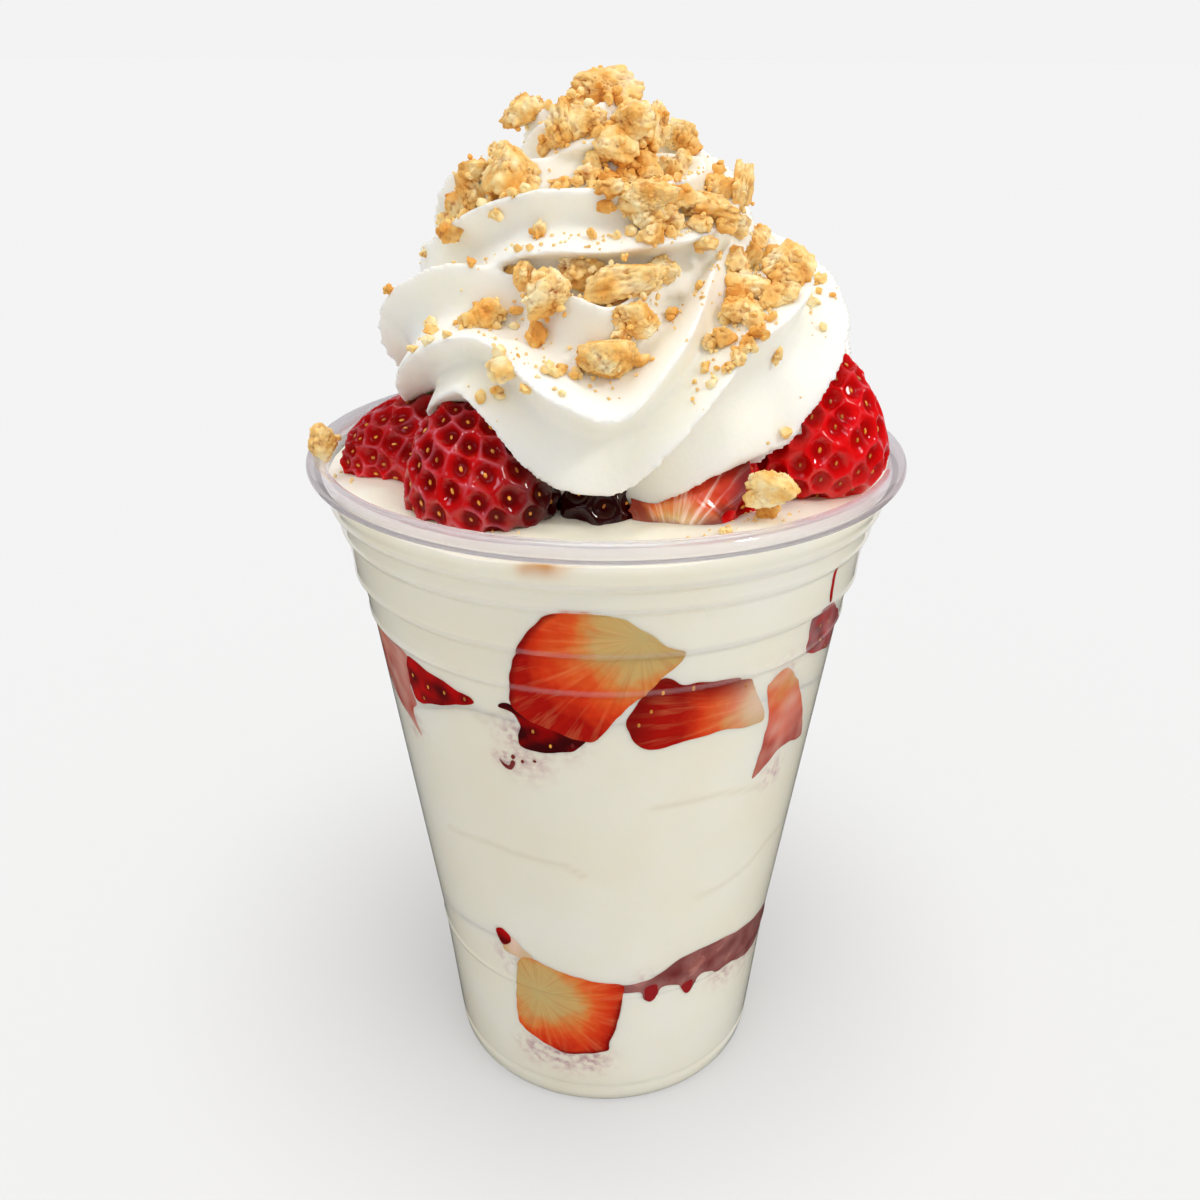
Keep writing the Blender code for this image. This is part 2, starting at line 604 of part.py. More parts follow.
def build():
    clear_scene()
    parts = bpy.data.collections.new("strawberries and cream")
    cutters_collection = bpy.data.collections.new("cutters")
    for collection in (parts, cutters_collection):
        bpy.context.scene.collection.children.link(collection)

    clear_plastic = material("clear PET", (0.90, 0.91, 0.93), 0.05, 0.3)
    soft_cream = material("soft cream", (0.90, 0.86, 0.78), 0.45)
    whipped = material("whipped cream", (0.96, 0.94, 0.90), 0.5)
    red_skin = material("strawberry skin", (0.55, 0.01, 0.02), 0.25)
    cut_flesh = material("cut strawberry", (0.75, 0.18, 0.08), 0.3)
    chopped = material("chopped strawberry", (0.30, 0.02, 0.03), 0.3)

    build_tumbler(clear_plastic, parts)
    cutters = make_cutters(cutters_collection)

    pieces = {}
    for name, (depth, outline) in WALL_BERRIES.items():
        pieces[name] = wall_berry(outline, depth)
    for name, (degrees, height, length, width, tilt, depth) in BACK_BERRIES.items():
        pieces[name] = wall_berry(teardrop((degrees, height), length, width, tilt), depth)
    for name, bm in pieces.items():
        finish = red_skin if name in ("upper_dark", "upper_left_red", "lower_chip") else cut_flesh
        place_object(name, mesh_from(bm, name), finish, parts)

    lower_disc = mesh_from(chopped_layer(LOWER_SEAM, *LOWER_CHOPPED), "lower_chopped")
    near = [cutters[key] for key in pieces if key.split("_")[0] == "lower"]
    lower_disc = cut_by(lower_disc, near, "lower_chopped", cutters_collection)
    place_object("lower_chopped", lower_disc, chopped, parts)
    upper_disc = mesh_from(chopped_layer(UPPER_SEAM, *UPPER_CHOPPED), "upper_chopped")
    place_object("upper_chopped", upper_disc, chopped, parts)

    floor = level_at(BASE_RECESS + WALL + GAP)
    half_gap = GAP / 2
    creams = {
        "cream_bottom": (floor, seam(LOWER_SEAM, -half_gap), "lower"),
        "cream_middle": (seam(LOWER_SEAM, half_gap), seam(UPPER_SEAM, -half_gap), "lower upper"),
        "cream_top": (seam(UPPER_SEAM, half_gap), level_at(TOP_CREAM_LEVEL), "upper top"),
    }
    for name, (bottom, top, layers) in creams.items():
        mesh = mesh_from(cream_body(bottom, top, CREAM_HEEL if name == "cream_bottom" else 0.0), name)
        near = [cutter for key, cutter in cutters.items() if key.split("_")[0] in layers]
        place_object(name, cut_by(mesh, near, name, cutters_collection), soft_cream, parts)

    for name, (middle, length, width, tip, cut) in TOP_BERRIES.items():
        finish = cut_flesh if name == "top_front_cut" else red_skin
        place_object(name, mesh_from(strawberry(middle, length, width, tip, cut), name), finish, parts)

    top_cutters = [cutters[name] for name in TOP_BERRIES]
    swirl = cut_by(swirl_mesh(cutters_collection), top_cutters, "swirl", cutters_collection)
    place_object("swirl", swirl, whipped, parts, smooth_angle=60)


build()
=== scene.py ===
# %% [markdown]
# # Strawberries and cream in a clear tumbler
# The real dessert is layered in a clear disposable tumbler: soft cream, cut strawberries
# pressed against the wall, more cream, strawberries on top, a piped swirl of whipped
# cream and a handful of broken biscuit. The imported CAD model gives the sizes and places.
# This lesson builds the fine shapes and finishes around it, one piece at a time.

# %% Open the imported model
import math
import random

import bmesh
import bpy
import numpy as np
from mathutils import Euler, Matrix, Vector, noise
from mathutils.bvhtree import BVHTree


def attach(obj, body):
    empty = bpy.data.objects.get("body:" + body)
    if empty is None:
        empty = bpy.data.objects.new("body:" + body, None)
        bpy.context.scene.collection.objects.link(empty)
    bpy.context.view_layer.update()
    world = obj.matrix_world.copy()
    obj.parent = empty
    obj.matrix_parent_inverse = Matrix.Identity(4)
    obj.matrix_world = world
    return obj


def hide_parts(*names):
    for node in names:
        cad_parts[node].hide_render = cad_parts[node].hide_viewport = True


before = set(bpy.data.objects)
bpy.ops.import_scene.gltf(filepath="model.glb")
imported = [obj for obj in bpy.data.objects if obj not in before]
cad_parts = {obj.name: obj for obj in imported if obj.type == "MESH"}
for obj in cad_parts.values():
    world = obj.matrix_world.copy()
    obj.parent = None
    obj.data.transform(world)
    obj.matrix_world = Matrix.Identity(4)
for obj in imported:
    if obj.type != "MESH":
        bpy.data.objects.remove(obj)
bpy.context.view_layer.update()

MM = 0.001

# %% [markdown]
# ## Helpers for every material
# A material is a small graph of nodes. Colours are written as the hex values that a
# painter would pick on a screen, so they are turned to linear light first. One function
# adds any node with its values and links, which keeps each recipe short.


# %% Colours and nodes
def linear(code):
    """The linear RGBA colour of an sRGB hex value."""
    shares = [int(code[start:start + 2], 16) / 255 for start in (0, 2, 4)]
    return [share / 12.92 if share <= 0.04045 else ((share + 0.055) / 1.055) ** 2.4
            for share in shares] + [1.0]


def add_node(tree, kind, values=None, links=None, stops=None, **settings):
    """Adds a node, fills its sockets, links its inputs and, on a ramp, sets its stops.

    A link comes from a socket, or from a node and then from its first output."""
    node = tree.nodes.new("ShaderNode" + kind)
    for name, value in settings.items():
        setattr(node, name, value)
    for socket, value in (values or {}).items():
        node.inputs[socket].default_value = value
    for socket, source in (links or {}).items():
        tree.links.new(getattr(source, "outputs", [source])[0], node.inputs[socket])
    for index, (place, code) in enumerate(stops or ()):
        elements = node.color_ramp.elements
        element = elements[index] if index < 2 else elements.new(place)
        element.position = place
        element.color = linear(code)
    return node


def new_finish(name, **values):
    """A material with its Principled shader, and a link from the piece's own coordinates."""
    finish = bpy.data.materials.new(name)
    finish.use_nodes = True
    tree = finish.node_tree
    shader = tree.nodes["Principled BSDF"]
    for socket, value in values.items():
        shader.inputs[socket.replace("_", " ")].default_value = value
    return finish, tree, shader, {"Vector": add_node(tree, "TexCoord").outputs["Object"]}


def paint(tree, shader, colour, *layers):
    """Lays tints over a colour, each as strong as a node or an attribute of the piece says."""
    for amount, code in layers:
        if isinstance(amount, str):
            amount = add_node(tree, "Attribute", attribute_name=amount).outputs["Fac"]
        colour = add_node(tree, "Mix", {7: linear(code)}, {0: amount, 6: colour}, data_type="RGBA").outputs[2]
    tree.links.new(getattr(colour, "outputs", [colour])[0], shader.inputs["Base Color"])


def emboss(tree, shader, *reliefs):
    """Lays one relief on another: the node that gives its height, its strength and its depth."""
    below = {}
    for height, strength, depth in reliefs:
        bump = add_node(tree, "Bump", {"Strength": strength, "Distance": depth}, {"Height": height, **below})
        below = {"Normal": bump}
    tree.links.new(bump.outputs[0], shader.inputs["Normal"])


# %% [markdown]
# ## Helpers for every piece
# A bmesh becomes an object only when its shape is ready. The object stays at the origin,
# so its place is in its points, and it rides on the tumbler's body.


# %% Turning a bmesh into a piece
table = bpy.data.collections.new("table")
bpy.context.scene.collection.children.link(table)
dessert = bpy.data.collections.new("dessert")
berries = bpy.data.collections.new("strawberries")
table.children.link(dessert)
table.children.link(berries)
made = []


def finish_piece(name, bm, finishes, stands_for=(), sharp=40, into=dessert):
    """Makes the object, gives it its finishes, sets it on the tumbler's body and hides the imported parts it
    stands for.
    """
    mesh = bpy.data.meshes.new(name)
    bm.to_mesh(mesh)
    bm.free()
    for finish in finishes:
        mesh.materials.append(finish)
    mesh.shade_smooth()
    mesh.set_sharp_from_angle(angle=math.radians(sharp))
    piece = bpy.data.objects.new(name, mesh)
    into.objects.link(piece)
    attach(piece, "root")
    if stands_for:
        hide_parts(*stands_for)
    made.append(piece)
    print(f"{name}: {len(mesh.polygons)} faces")
    return piece


def polar(radius, degrees, height):
    """A point in metres from millimetres off the axis, degrees round it and height."""
    angle = math.radians(degrees)
    return Vector((radius * math.cos(angle), radius * math.sin(angle), height)) * MM


def distance_to(line, spot):
    """Distance from a spot to the nearest stretch of a line of points."""
    best = 1e9
    for start, end in zip(line, line[1:]):
        run = end - start
        share = max(0.0, min(1.0, (spot - start).dot(run) / max(run.length_squared, 1e-12)))
        best = min(best, (spot - start - run * share).length)
    return best


def ease(value, start, end):
    """Goes from 0 to 1 between start and end, gently at both ends."""
    share = np.clip((value - start) / (end - start), 0.0, 1.0)
    return share * share * (3 - 2 * share)


# %% [markdown]
# ## Camera
# The photograph looks down on the tumbler by about 25 degrees from close by, so the rim
# is a wide ellipse. The lens and place come from fitting a pinhole camera to the rim and
# the foot, and the same camera later turns a place in the picture into a ray.

# %% Camera at the photograph's place
FRAME_PX = 1200
FOCAL_PX = 1207.9
CENTRE_X_PX = 605.78
CAMERA_PLACE = Vector((0.0, -0.1944, 0.17864))
CAMERA_DIP = 24.498
CAMERA_ROLL = 0.241
SENSOR_MM = 36.0

camera_data = bpy.data.cameras.new("photograph")
camera_data.sensor_width = SENSOR_MM
camera_data.lens = FOCAL_PX / FRAME_PX * SENSOR_MM
camera_data.shift_x = (FRAME_PX / 2 - CENTRE_X_PX) / FRAME_PX
camera_data.clip_start = 0.01
camera = bpy.data.objects.new("photograph", camera_data)
dipped = Euler((math.radians(90 - CAMERA_DIP), 0, 0)).to_matrix()
camera_turn = dipped @ Matrix.Rotation(math.radians(CAMERA_ROLL), 3, "Z")
camera.matrix_world = Matrix.Translation(CAMERA_PLACE) @ camera_turn.to_4x4()
bpy.context.scene.collection.objects.link(camera)
bpy.context.scene.camera = camera
print("lens:", round(camera_data.lens, 2), "mm")

# %% [markdown]
# ## Studio light
# The picture was taken in soft, bright light with a key from the upper right. A pale
# world fills the shadows, one small lamp makes the modelling on the swirl, a large box
# above brightens what faces up and draws thin lines of light on the rings of the cup,
# and a soft box on the left and two small spark lights put a veil and glints on the wet
# berries. A wide light falls on the paper alone and gives the soft shadow round the foot.
# Glossy surfaces see a dimmer room, as in a studio with black flags, so the plastic stays
# clear, and behind the tumbler a pale card that only reflections see keeps the edges of
# the rim pale.

# %% World
BACKDROP = 0.896
FILL_STRENGTH = 0.86
GLINT_STRENGTH = 0.06
WHITE = linear("FFFFFF")
SWIRL_MIDDLE = Vector((0, 0, 0.13))

world = bpy.data.worlds.new("studio")
bpy.context.scene.world = world
world.use_nodes = True
tree = world.node_tree
tree.nodes.clear()


def by_ray(tree, shown, bounced, mirrored):
    """Picks one of three shaders: for what the picture shows, for soft bounces and for reflections."""
    path = add_node(tree, "LightPath")
    seen = add_node(tree, "Math", operation="MAXIMUM",
                    links={0: path.outputs["Is Camera Ray"], 1: path.outputs["Is Transmission Ray"]})
    plain = add_node(tree, "MixShader", links={0: seen, 1: bounced, 2: shown})
    return add_node(tree, "MixShader", links={0: path.outputs["Is Glossy Ray"], 1: plain, 2: mirrored})


fill = add_node(tree, "Background", {"Color": WHITE, "Strength": FILL_STRENGTH})
dim = add_node(tree, "Background", {"Color": WHITE, "Strength": GLINT_STRENGTH})
backdrop = add_node(tree, "Background", {"Color": WHITE, "Strength": BACKDROP})
add_node(tree, "OutputWorld", links={"Surface": by_ray(tree, backdrop, fill, dim)})


# %% Lamps
def add_lamp(name, place, size, power, code, receivers):
    """A square lamp that looks at the middle of the swirl."""
    data = bpy.data.lights.new(name, "AREA")
    data.size = size
    data.energy = power
    data.color = linear(code)[:3]
    lamp = bpy.data.objects.new(name, data)
    aim = (SWIRL_MIDDLE - Vector(place)).to_track_quat("-Z", "Y").to_matrix().to_4x4()
    lamp.matrix_world = Matrix.Translation(place) @ aim
    bpy.context.scene.collection.objects.link(lamp)
    lamp.light_linking.receiver_collection = receivers
    return lamp


# Name, place, size, power, colour and what it lights.
add_lamp("key", (0.78, -0.42, 0.95), 0.15, 4.2, "FFFDF8", table)
add_lamp("top box", (-0.15, -0.05, 1.15), 0.8, 3.4, "FFFFFF", dessert)
add_lamp("soft box", (-0.60, -0.45, 0.85), 0.35, 1.9, "F0E8FF", berries)
add_lamp("spark", (-0.12, -0.62, 0.80), 0.05, 0.9, "FFFFFF", berries)
add_lamp("high spark", (0.08, 0.04, 1.05), 0.06, 0.8, "FFFFFF", berries)
stage = bpy.data.collections.new("stage")
bpy.context.scene.collection.children.link(stage)
OVERHEAD_STRENGTH = 3.5
# What the paper gets of a wide light that stands a little to the front.
OVERHEAD_SLANT = 0.962
OVERHEAD_SPREAD = 50
overhead = add_lamp("overhead", (0.04, -0.20, 1.0), 1.0, OVERHEAD_STRENGTH, "FFFFFF", stage)
overhead.data.type = "SUN"
overhead.data.angle = math.radians(OVERHEAD_SPREAD)
overhead.data.energy = OVERHEAD_STRENGTH


# %% Paper and pale card
def bare_finish(name):
    """A material with an empty tree of nodes."""
    finish = bpy.data.materials.new(name)
    finish.use_nodes = True
    finish.node_tree.nodes.clear()
    return finish


def stage_object(name, bm, finish):
    """Makes an object of the stage."""
    mesh = bpy.data.meshes.new(name)
    bm.to_mesh(mesh)
    bm.free()
    mesh.materials.append(finish)
    made_object = bpy.data.objects.new(name, mesh)
    stage.objects.link(made_object)
    return made_object


# The paper's glow is what the backdrop has more than the fill and the overhead lamp give it.
FLOOR_RADIUS = 25.0
PAPER = linear("B0B0B0")
BOUNCE_GREY = linear("A8A8A8")
MIRRORED_GREY = linear("2A2A2A")
OPEN_LIGHT = FILL_STRENGTH + OVERHEAD_STRENGTH * OVERHEAD_SLANT / math.pi
floor_finish = bare_finish("matt paper")
tree = floor_finish.node_tree
paper = add_node(tree, "BsdfDiffuse", {"Color": PAPER})
glow = add_node(tree, "Emission", {"Color": WHITE, "Strength": BACKDROP - PAPER[0] * OPEN_LIGHT})
lit_paper = add_node(tree, "AddShader", links={0: paper, 1: glow})
bounce = add_node(tree, "BsdfDiffuse", {"Color": BOUNCE_GREY})
dull = add_node(tree, "BsdfDiffuse", {"Color": MIRRORED_GREY})
add_node(tree, "OutputMaterial", links={"Surface": by_ray(tree, lit_paper, bounce, dull)})
bm = bmesh.new()
bmesh.ops.create_circle(bm, cap_ends=True, segments=96, radius=FLOOR_RADIUS)
floor = stage_object("floor", bm, floor_finish)

CARD_TINT = linear("EFECF4")
CARD_STRENGTH = 0.80
BACK_CARD_HALF = 2.4
FLOOR_CARD_HALF = 1.0
card_finish = bare_finish("pale card")
card_glow = add_node(card_finish.node_tree, "Emission", {"Color": CARD_TINT, "Strength": CARD_STRENGTH})
add_node(card_finish.node_tree, "OutputMaterial", links={"Surface": card_glow})
bm = bmesh.new()
upright = Matrix.Translation((0, 2.2, 1.2)) @ Matrix.Rotation(math.radians(90), 4, "X")
lying = Matrix.Translation((0, 1.2, 0.002))
for half, matrix in ((BACK_CARD_HALF, upright), (FLOOR_CARD_HALF, lying)):
    bmesh.ops.create_grid(bm, x_segments=1, y_segments=1, size=half, matrix=matrix)
card = stage_object("card", bm, card_finish)
for kind in ("camera", "diffuse", "transmission", "volume_scatter", "shadow"):
    setattr(card, "visible_" + kind, False)

view = bpy.context.scene.view_settings
view.view_transform = "Standard"
print("lamps: 6, world fill", FILL_STRENGTH)

# %% [markdown]
# ## The tumbler
# A disposable cold cup is thermoformed: a hot sheet is drawn into a mould, so the wall is
# thin and even, with stacking rings under the rim and a ring near the foot, and the lip
# is rolled outwards afterwards. A turned shape is one profile spun about the axis. The
# profile's corners are softened first, because hot plastic never fills a sharp corner.

# %% Sizes of the tumbler
RIM_RADIUS = 49.0
TUMBLER_HEIGHT = 120.0
WALL = 0.6
RIM_ROLL_RADIUS = 1.35
FOOT_RADIUS = 28.6
FOOT_BAND_HEIGHT = 4.2
FOOT_GROOVE = 0.35
STANDING_RING_WIDTH = 2.6
HEEL_RADIUS = 1.2
BASE_RECESS = 1.4
BEAD_HEIGHT = 28.1
LOWER_TAPER = 0.10
UPPER_TAPER = 0.1375
STEPS = ((93.2, 0.35), (100.2, 0.9), (108.0, 0.55), (112.0, 0.85))
NECK_HEIGHT = 114.6
RING_BEAD = 0.26
LOWER_BEAD = 0.22
INNER_CORNER_REACH = 0.5
OUTER_CORNER_REACH = 0.55
CORNER_STEPS = 4
LIP_END = -70
ROLL_RADIUS_FROM_AXIS = RIM_RADIUS - RIM_ROLL_RADIUS - WALL / 2
ROLL_HEIGHT = TUMBLER_HEIGHT - RIM_ROLL_RADIUS - WALL / 2
NECK_RADIUS = ROLL_RADIUS_FROM_AXIS - RIM_ROLL_RADIUS + WALL / 2


def outer_radius(height):
    """Radius of the outer face of the wall, steps included."""
    radius = FOOT_RADIUS + LOWER_TAPER * min(height, BEAD_HEIGHT)
    radius += UPPER_TAPER * max(0.0, min(height, NECK_HEIGHT) - BEAD_HEIGHT)
    return radius + sum(step for place, step in STEPS if height >= place)


def arc(radius, start, end, count):
    """Points of the rolled lip, angles in degrees."""
    turns = [math.radians(start + (end - start) * index / count) for index in range(count + 1)]
    return [(ROLL_RADIUS_FROM_AXIS + radius * math.cos(turn), ROLL_HEIGHT + radius * math.sin(turn))
            for turn in turns]


def softened(points, reach):
    """Replaces each inner corner of a profile with a short curve."""
    out = [points[0]]
    for before, here, after in zip(points, points[1:], points[2:]):
        here = Vector(here)
        arriving, leaving = Vector(before) - here, Vector(after) - here
        first = here + arriving.normalized() * min(reach, 0.4 * arriving.length)
        last = here + leaving.normalized() * min(reach, 0.4 * leaving.length)
        for index in range(CORNER_STEPS + 1):
            share = index / CORNER_STEPS
            out.append(tuple(first.lerp(here, share).lerp(here.lerp(last, share), share)))
    return out + [points[-1]]


# %% The wall's two faces
def on_wall(height, out=0.0):
    """A corner of the profile on the outer face, or a little out of it."""
    return outer_radius(height) + out, height


over_groove = outer_radius(FOOT_BAND_HEIGHT + 0.8)
in_groove = outer_radius(FOOT_BAND_HEIGHT) - FOOT_GROOVE
ring_inner = FOOT_RADIUS - HEEL_RADIUS - STANDING_RING_WIDTH

outer_face = [(NECK_RADIUS, ROLL_HEIGHT), (NECK_RADIUS, NECK_HEIGHT)]
for place, step in reversed(STEPS):
    ring = outer_radius(place)
    outer_face += [on_wall(place + 1.4), on_wall(place + 0.9, 0.04)]
    outer_face += [(ring + RING_BEAD, place + 0.5), (ring + RING_BEAD, place + 0.2),
                   (ring - step, place - 0.6)]
outer_face += [on_wall(BEAD_HEIGHT + 0.7), on_wall(BEAD_HEIGHT, LOWER_BEAD), on_wall(BEAD_HEIGHT - 0.7)]
outer_face += [(over_groove, FOOT_BAND_HEIGHT + 0.8), (in_groove, FOOT_BAND_HEIGHT + 0.3)]
outer_face += [(outer_radius(FOOT_BAND_HEIGHT), FOOT_BAND_HEIGHT - 0.5), (FOOT_RADIUS - 0.1, HEEL_RADIUS)]
outer_face += [(FOOT_RADIUS - HEEL_RADIUS, 0.0), (ring_inner, 0.0)]
outer_face += [(ring_inner - 1.0, BASE_RECESS), (0.0, BASE_RECESS)]

inner_face = [(0.0, BASE_RECESS + WALL), (ring_inner - 1.0, BASE_RECESS + WALL), (ring_inner, WALL)]
inner_face += [(FOOT_RADIUS - HEEL_RADIUS - 0.2, WALL), (FOOT_RADIUS - WALL - 0.1, HEEL_RADIUS + 0.5)]
inner_face += [(in_groove - WALL, FOOT_BAND_HEIGHT - 0.3), (over_groove - WALL, FOOT_BAND_HEIGHT + 1.0)]
inner_face += [(outer_radius(BEAD_HEIGHT) - WALL, BEAD_HEIGHT)]
for place, step in STEPS:
    inner_face += [(outer_radius(place) - step - WALL, place - 0.5),
                   (outer_radius(place) - WALL, place + 0.3)]
inner_face += [(NECK_RADIUS - WALL, NECK_HEIGHT + 0.3), (NECK_RADIUS - WALL, ROLL_HEIGHT)]
inner_face = softened(inner_face, INNER_CORNER_REACH)
inner_wall = np.array([point for point in inner_face if point[0] > FOOT_RADIUS - HEEL_RADIUS - 0.3])


def inner_radius(height):
    """Radius of the inner face of the wall."""
    return float(np.interp(height, inner_wall[:, 1], inner_wall[:, 0]))


# %% Spinning the profile
LATHE_STEPS = 192


def lathe(bm, line, steps, merge_reach):
    """Turns a line of points once round the axis and joins what meets there."""
    bmesh.ops.spin(bm, geom=line, axis=(0, 0, 1), cent=(0, 0, 0), angle=2 * math.pi, steps=steps,
                   use_merge=True)
    bmesh.ops.remove_doubles(bm, verts=bm.verts, dist=merge_reach)


lip = arc(RIM_ROLL_RADIUS + WALL / 2, 180, LIP_END, 26) + arc(RIM_ROLL_RADIUS - WALL / 2, LIP_END, 180, 20)
profile = lip[:-1] + softened(outer_face, OUTER_CORNER_REACH) + inner_face[:-1]
bm = bmesh.new()
points = [bm.verts.new((radius * MM, 0.0, height * MM)) for radius, height in profile]
edges = [bm.edges.new(pair) for pair in zip(points, points[1:] + points[:1])
         if pair[0].co.x > 0 or pair[1].co.x > 0]
lathe(bm, points + edges, LATHE_STEPS, 0.000002)
bmesh.ops.recalc_face_normals(bm, faces=bm.faces)

# %% [markdown]
# ## Clear PET
# Cold cups are PET: index about 1.57, glossy, with faint waves from the drawn sheet.
# Lamps would need very many samples to find their way through bent glass, so rays from
# lamps and soft bounces pass straight through, while the eye still gets true refraction.

# %% Material of the tumbler
LIP_FOOT = 116.5
LIP_HAZE_AND_SHEEN = "808080"
HAZE_TINT = linear("F4F1F5")
# Height above the foot of a ring, and how much it scatters there, as painted highlight lines.
RING_HIGHLIGHT_HAZE = ((-0.05, "000000"), (0.2, "868686"), (0.5, "868686"), (0.8, "000000"))
pet, tree, shader, here = new_finish("clear PET", Base_Color=linear("FEFEFF"), Roughness=0.03, IOR=1.57,
                                     Transmission_Weight=1.0)
# Waves of the drawn sheet, about 14 mm apart.
emboss(tree, shader, (add_node(tree, "TexNoise", {"Scale": 70.0, "Detail": 1.5}, here), 0.08, 0.0004))
path = add_node(tree, "LightPath")
passing = add_node(tree, "Math", operation="MAXIMUM",
                   links={0: path.outputs["Is Shadow Ray"], 1: path.outputs["Is Diffuse Ray"]})
clear = add_node(tree, "BsdfTransparent", {"Color": linear("FDFDFE")})
# The lip was rolled cold and whitens a little, and its haze also stands in for pale reflections;
# on the rings the haze is painted highlight lines.
marks = [(0.0, "000000"), (1.0, LIP_HAZE_AND_SHEEN), (LIP_FOOT / TUMBLER_HEIGHT, "000000"),
         ((LIP_FOOT + 0.5) / TUMBLER_HEIGHT, LIP_HAZE_AND_SHEEN)]
for ring, _ in STEPS:
    marks += [((ring + rise) / TUMBLER_HEIGHT, code) for rise, code in RING_HIGHLIGHT_HAZE]
coordinates = add_node(tree, "SeparateXYZ", links=here)
height_share = add_node(tree, "MapRange", {"From Max": TUMBLER_HEIGHT * MM},
                        {"Value": coordinates.outputs[2]})
haze_and_highlights = add_node(tree, "ValToRGB", links={0: height_share}, stops=marks)
dusty = add_node(tree, "BsdfDiffuse", {"Color": HAZE_TINT})
glowing = add_node(tree, "BsdfTranslucent", {"Color": HAZE_TINT})
haze = add_node(tree, "MixShader", {0: 0.5}, {1: dusty, 2: glowing})
hazed = add_node(tree, "MixShader", links={0: haze_and_highlights, 1: shader, 2: haze})
mixed = add_node(tree, "MixShader", links={0: passing, 1: hazed, 2: clear})
tree.links.new(mixed.outputs[0], tree.nodes["Material Output"].inputs["Surface"])
finish_piece("tumbler_wall", bm, [pet], stands_for=["tumbler"], sharp=60)

# %% [markdown]
# ## Soft cream
# The filling is a thick soft cream, a little ivory, that lies flat against the wall and
# lets light a few millimetres in. Its surface is smooth with faint folds from the spoon,
# fine air bubbles, and purple-pink juice that bleeds in next to the strawberries.

# %% Materials of the two creams
def cream_finish(name, pale, shade, bubble_mm, bubble_depth, glow):
    """A white food that light enters, with slow mottling and fine bubbles."""
    finish, tree, shader, here = new_finish(name, Roughness=0.42, IOR=1.45, Subsurface_Weight=glow,
                                            Subsurface_Scale=0.003, Subsurface_Radius=(1.0, 0.85, 0.68))
    mottle = add_node(tree, "TexNoise", {"Scale": 45.0, "Detail": 3.0}, here)
    tones = add_node(tree, "ValToRGB", links={0: mottle}, stops=[(0.35, shade), (0.65, pale)])
    juice = add_node(tree, "Attribute", attribute_name="juice")
    spread = add_node(tree, "TexNoise", {"Scale": 800.0, "Detail": 4.0}, here)
    uneven = add_node(tree, "MapRange", {"From Min": 0.42, "From Max": 0.66, "To Min": 0.15, "To Max": 1.5},
                      {"Value": spread})
    stain = add_node(tree, "Math", links={0: juice.outputs["Fac"], 1: uneven}, operation="MULTIPLY",
                     use_clamp=True)
    # Painted shade: a darker tint along the folds at the wall.
    paint(tree, shader, tones, (stain, "A9607A"), ("syrup", "CB8A3C"), ("fold_shade", "CDBF9C"))
    bubbles = add_node(tree, "TexNoise", {"Scale": 1000 / bubble_mm, "Detail": 2.0}, here)
    folds = add_node(tree, "TexNoise", {"Scale": 130.0, "Detail": 2.0, "Distortion": 0.6}, here)
    emboss(tree, shader, (bubbles, 0.5, bubble_depth * MM), (folds, 0.35, 0.0006))
    return finish


soft_cream = cream_finish("soft cream", "FFF8E7", "FBF1DC", 1.1, 0.05, 0.5)
whipped_cream = cream_finish("whipped cream", "FAF8EF", "F9F4E6", 0.9, 0.12, 0.6)
print("creams ready")

# %% [markdown]
# ## The cream layers
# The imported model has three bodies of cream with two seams. Each is turned here from one
# profile, then its points are moved: outwards until the cream sits 0.05 mm inside the
# plastic, so that no air shows between them, and up or down to the uneven seams.

# %% Turned bodies of cream
CREAM_SINK = 0.05
CREAM_STEPS = 180
CREAM_ROWS = 64
SURFACE_RINGS = 40
STAINED_SHARE = 0.98
# Strength and half width in mm of the painted shade along the folds.
FOLD_SHADE_STRENGTH = 0.24
FOLD_SHADE_HALF_WIDTH = 0.55
TOP_CREAM_LEVEL = 116.3
SLOW_FOLD = 0.7
QUICK_FOLD = 0.25
EDGE_DIP = 0.5
LOWER_SEAM = ((-180, 33), (-125, 38.2), (-110, 33.5), (-84, 30.2), (-55, 31.6), (-20, 30), (60, 33),
              (120, 29))
UPPER_SEAM = ((-180, 84), (-143, 83), (-120, 87.8), (-108, 87.5), (-84, 88.5), (-50, 88), (-20, 84), (60, 89),
              (120, 82))


def around(table, degrees):
    """The value of a closed table at an angle, by smooth steps."""
    rows = table + ((table[0][0] + 360, table[0][1]),)
    degrees = rows[0][0] + (degrees - rows[0][0]) % 360
    for (x0, y0), (x1, y1) in zip(rows, rows[1:]):
        if degrees <= x1:
            share = (degrees - x0) / (x1 - x0)
            return y0 + (y1 - y0) * share * share * (3 - 2 * share)
    return rows[-1][1]


def seam(table):
    """Height of a seam: uneven at the wall and level in the middle."""
    mean = sum(row[1] for row in table) / len(table)
    return lambda degrees, share: mean + (around(table, degrees) - mean) * share * share


# Where the cream swells round the strawberries: place in mm, height and reach of the swell.
SWELLS = ((25, -34, 2.0, 8), (-4, -33, -0.9, 7), (-36, -20, 1.2, 8), (30, 25, 1.5, 10), (-14, 36, 1.4, 9),
          (-38, 10, 1.2, 9))


def top_level(degrees, share):
    """Height of the open surface: nearly flat, with swells and slow folds."""
    spot = polar(share * 44, degrees, 0) / MM
    level = TOP_CREAM_LEVEL + SLOW_FOLD * noise.noise(spot * 0.09) + QUICK_FOLD * noise.noise(spot * 0.3)
    for x, y, height, reach in SWELLS:
        level += height * math.exp(-((spot.x - x) ** 2 + (spot.y - y) ** 2) / reach ** 2)
    return level - EDGE_DIP * share ** 12


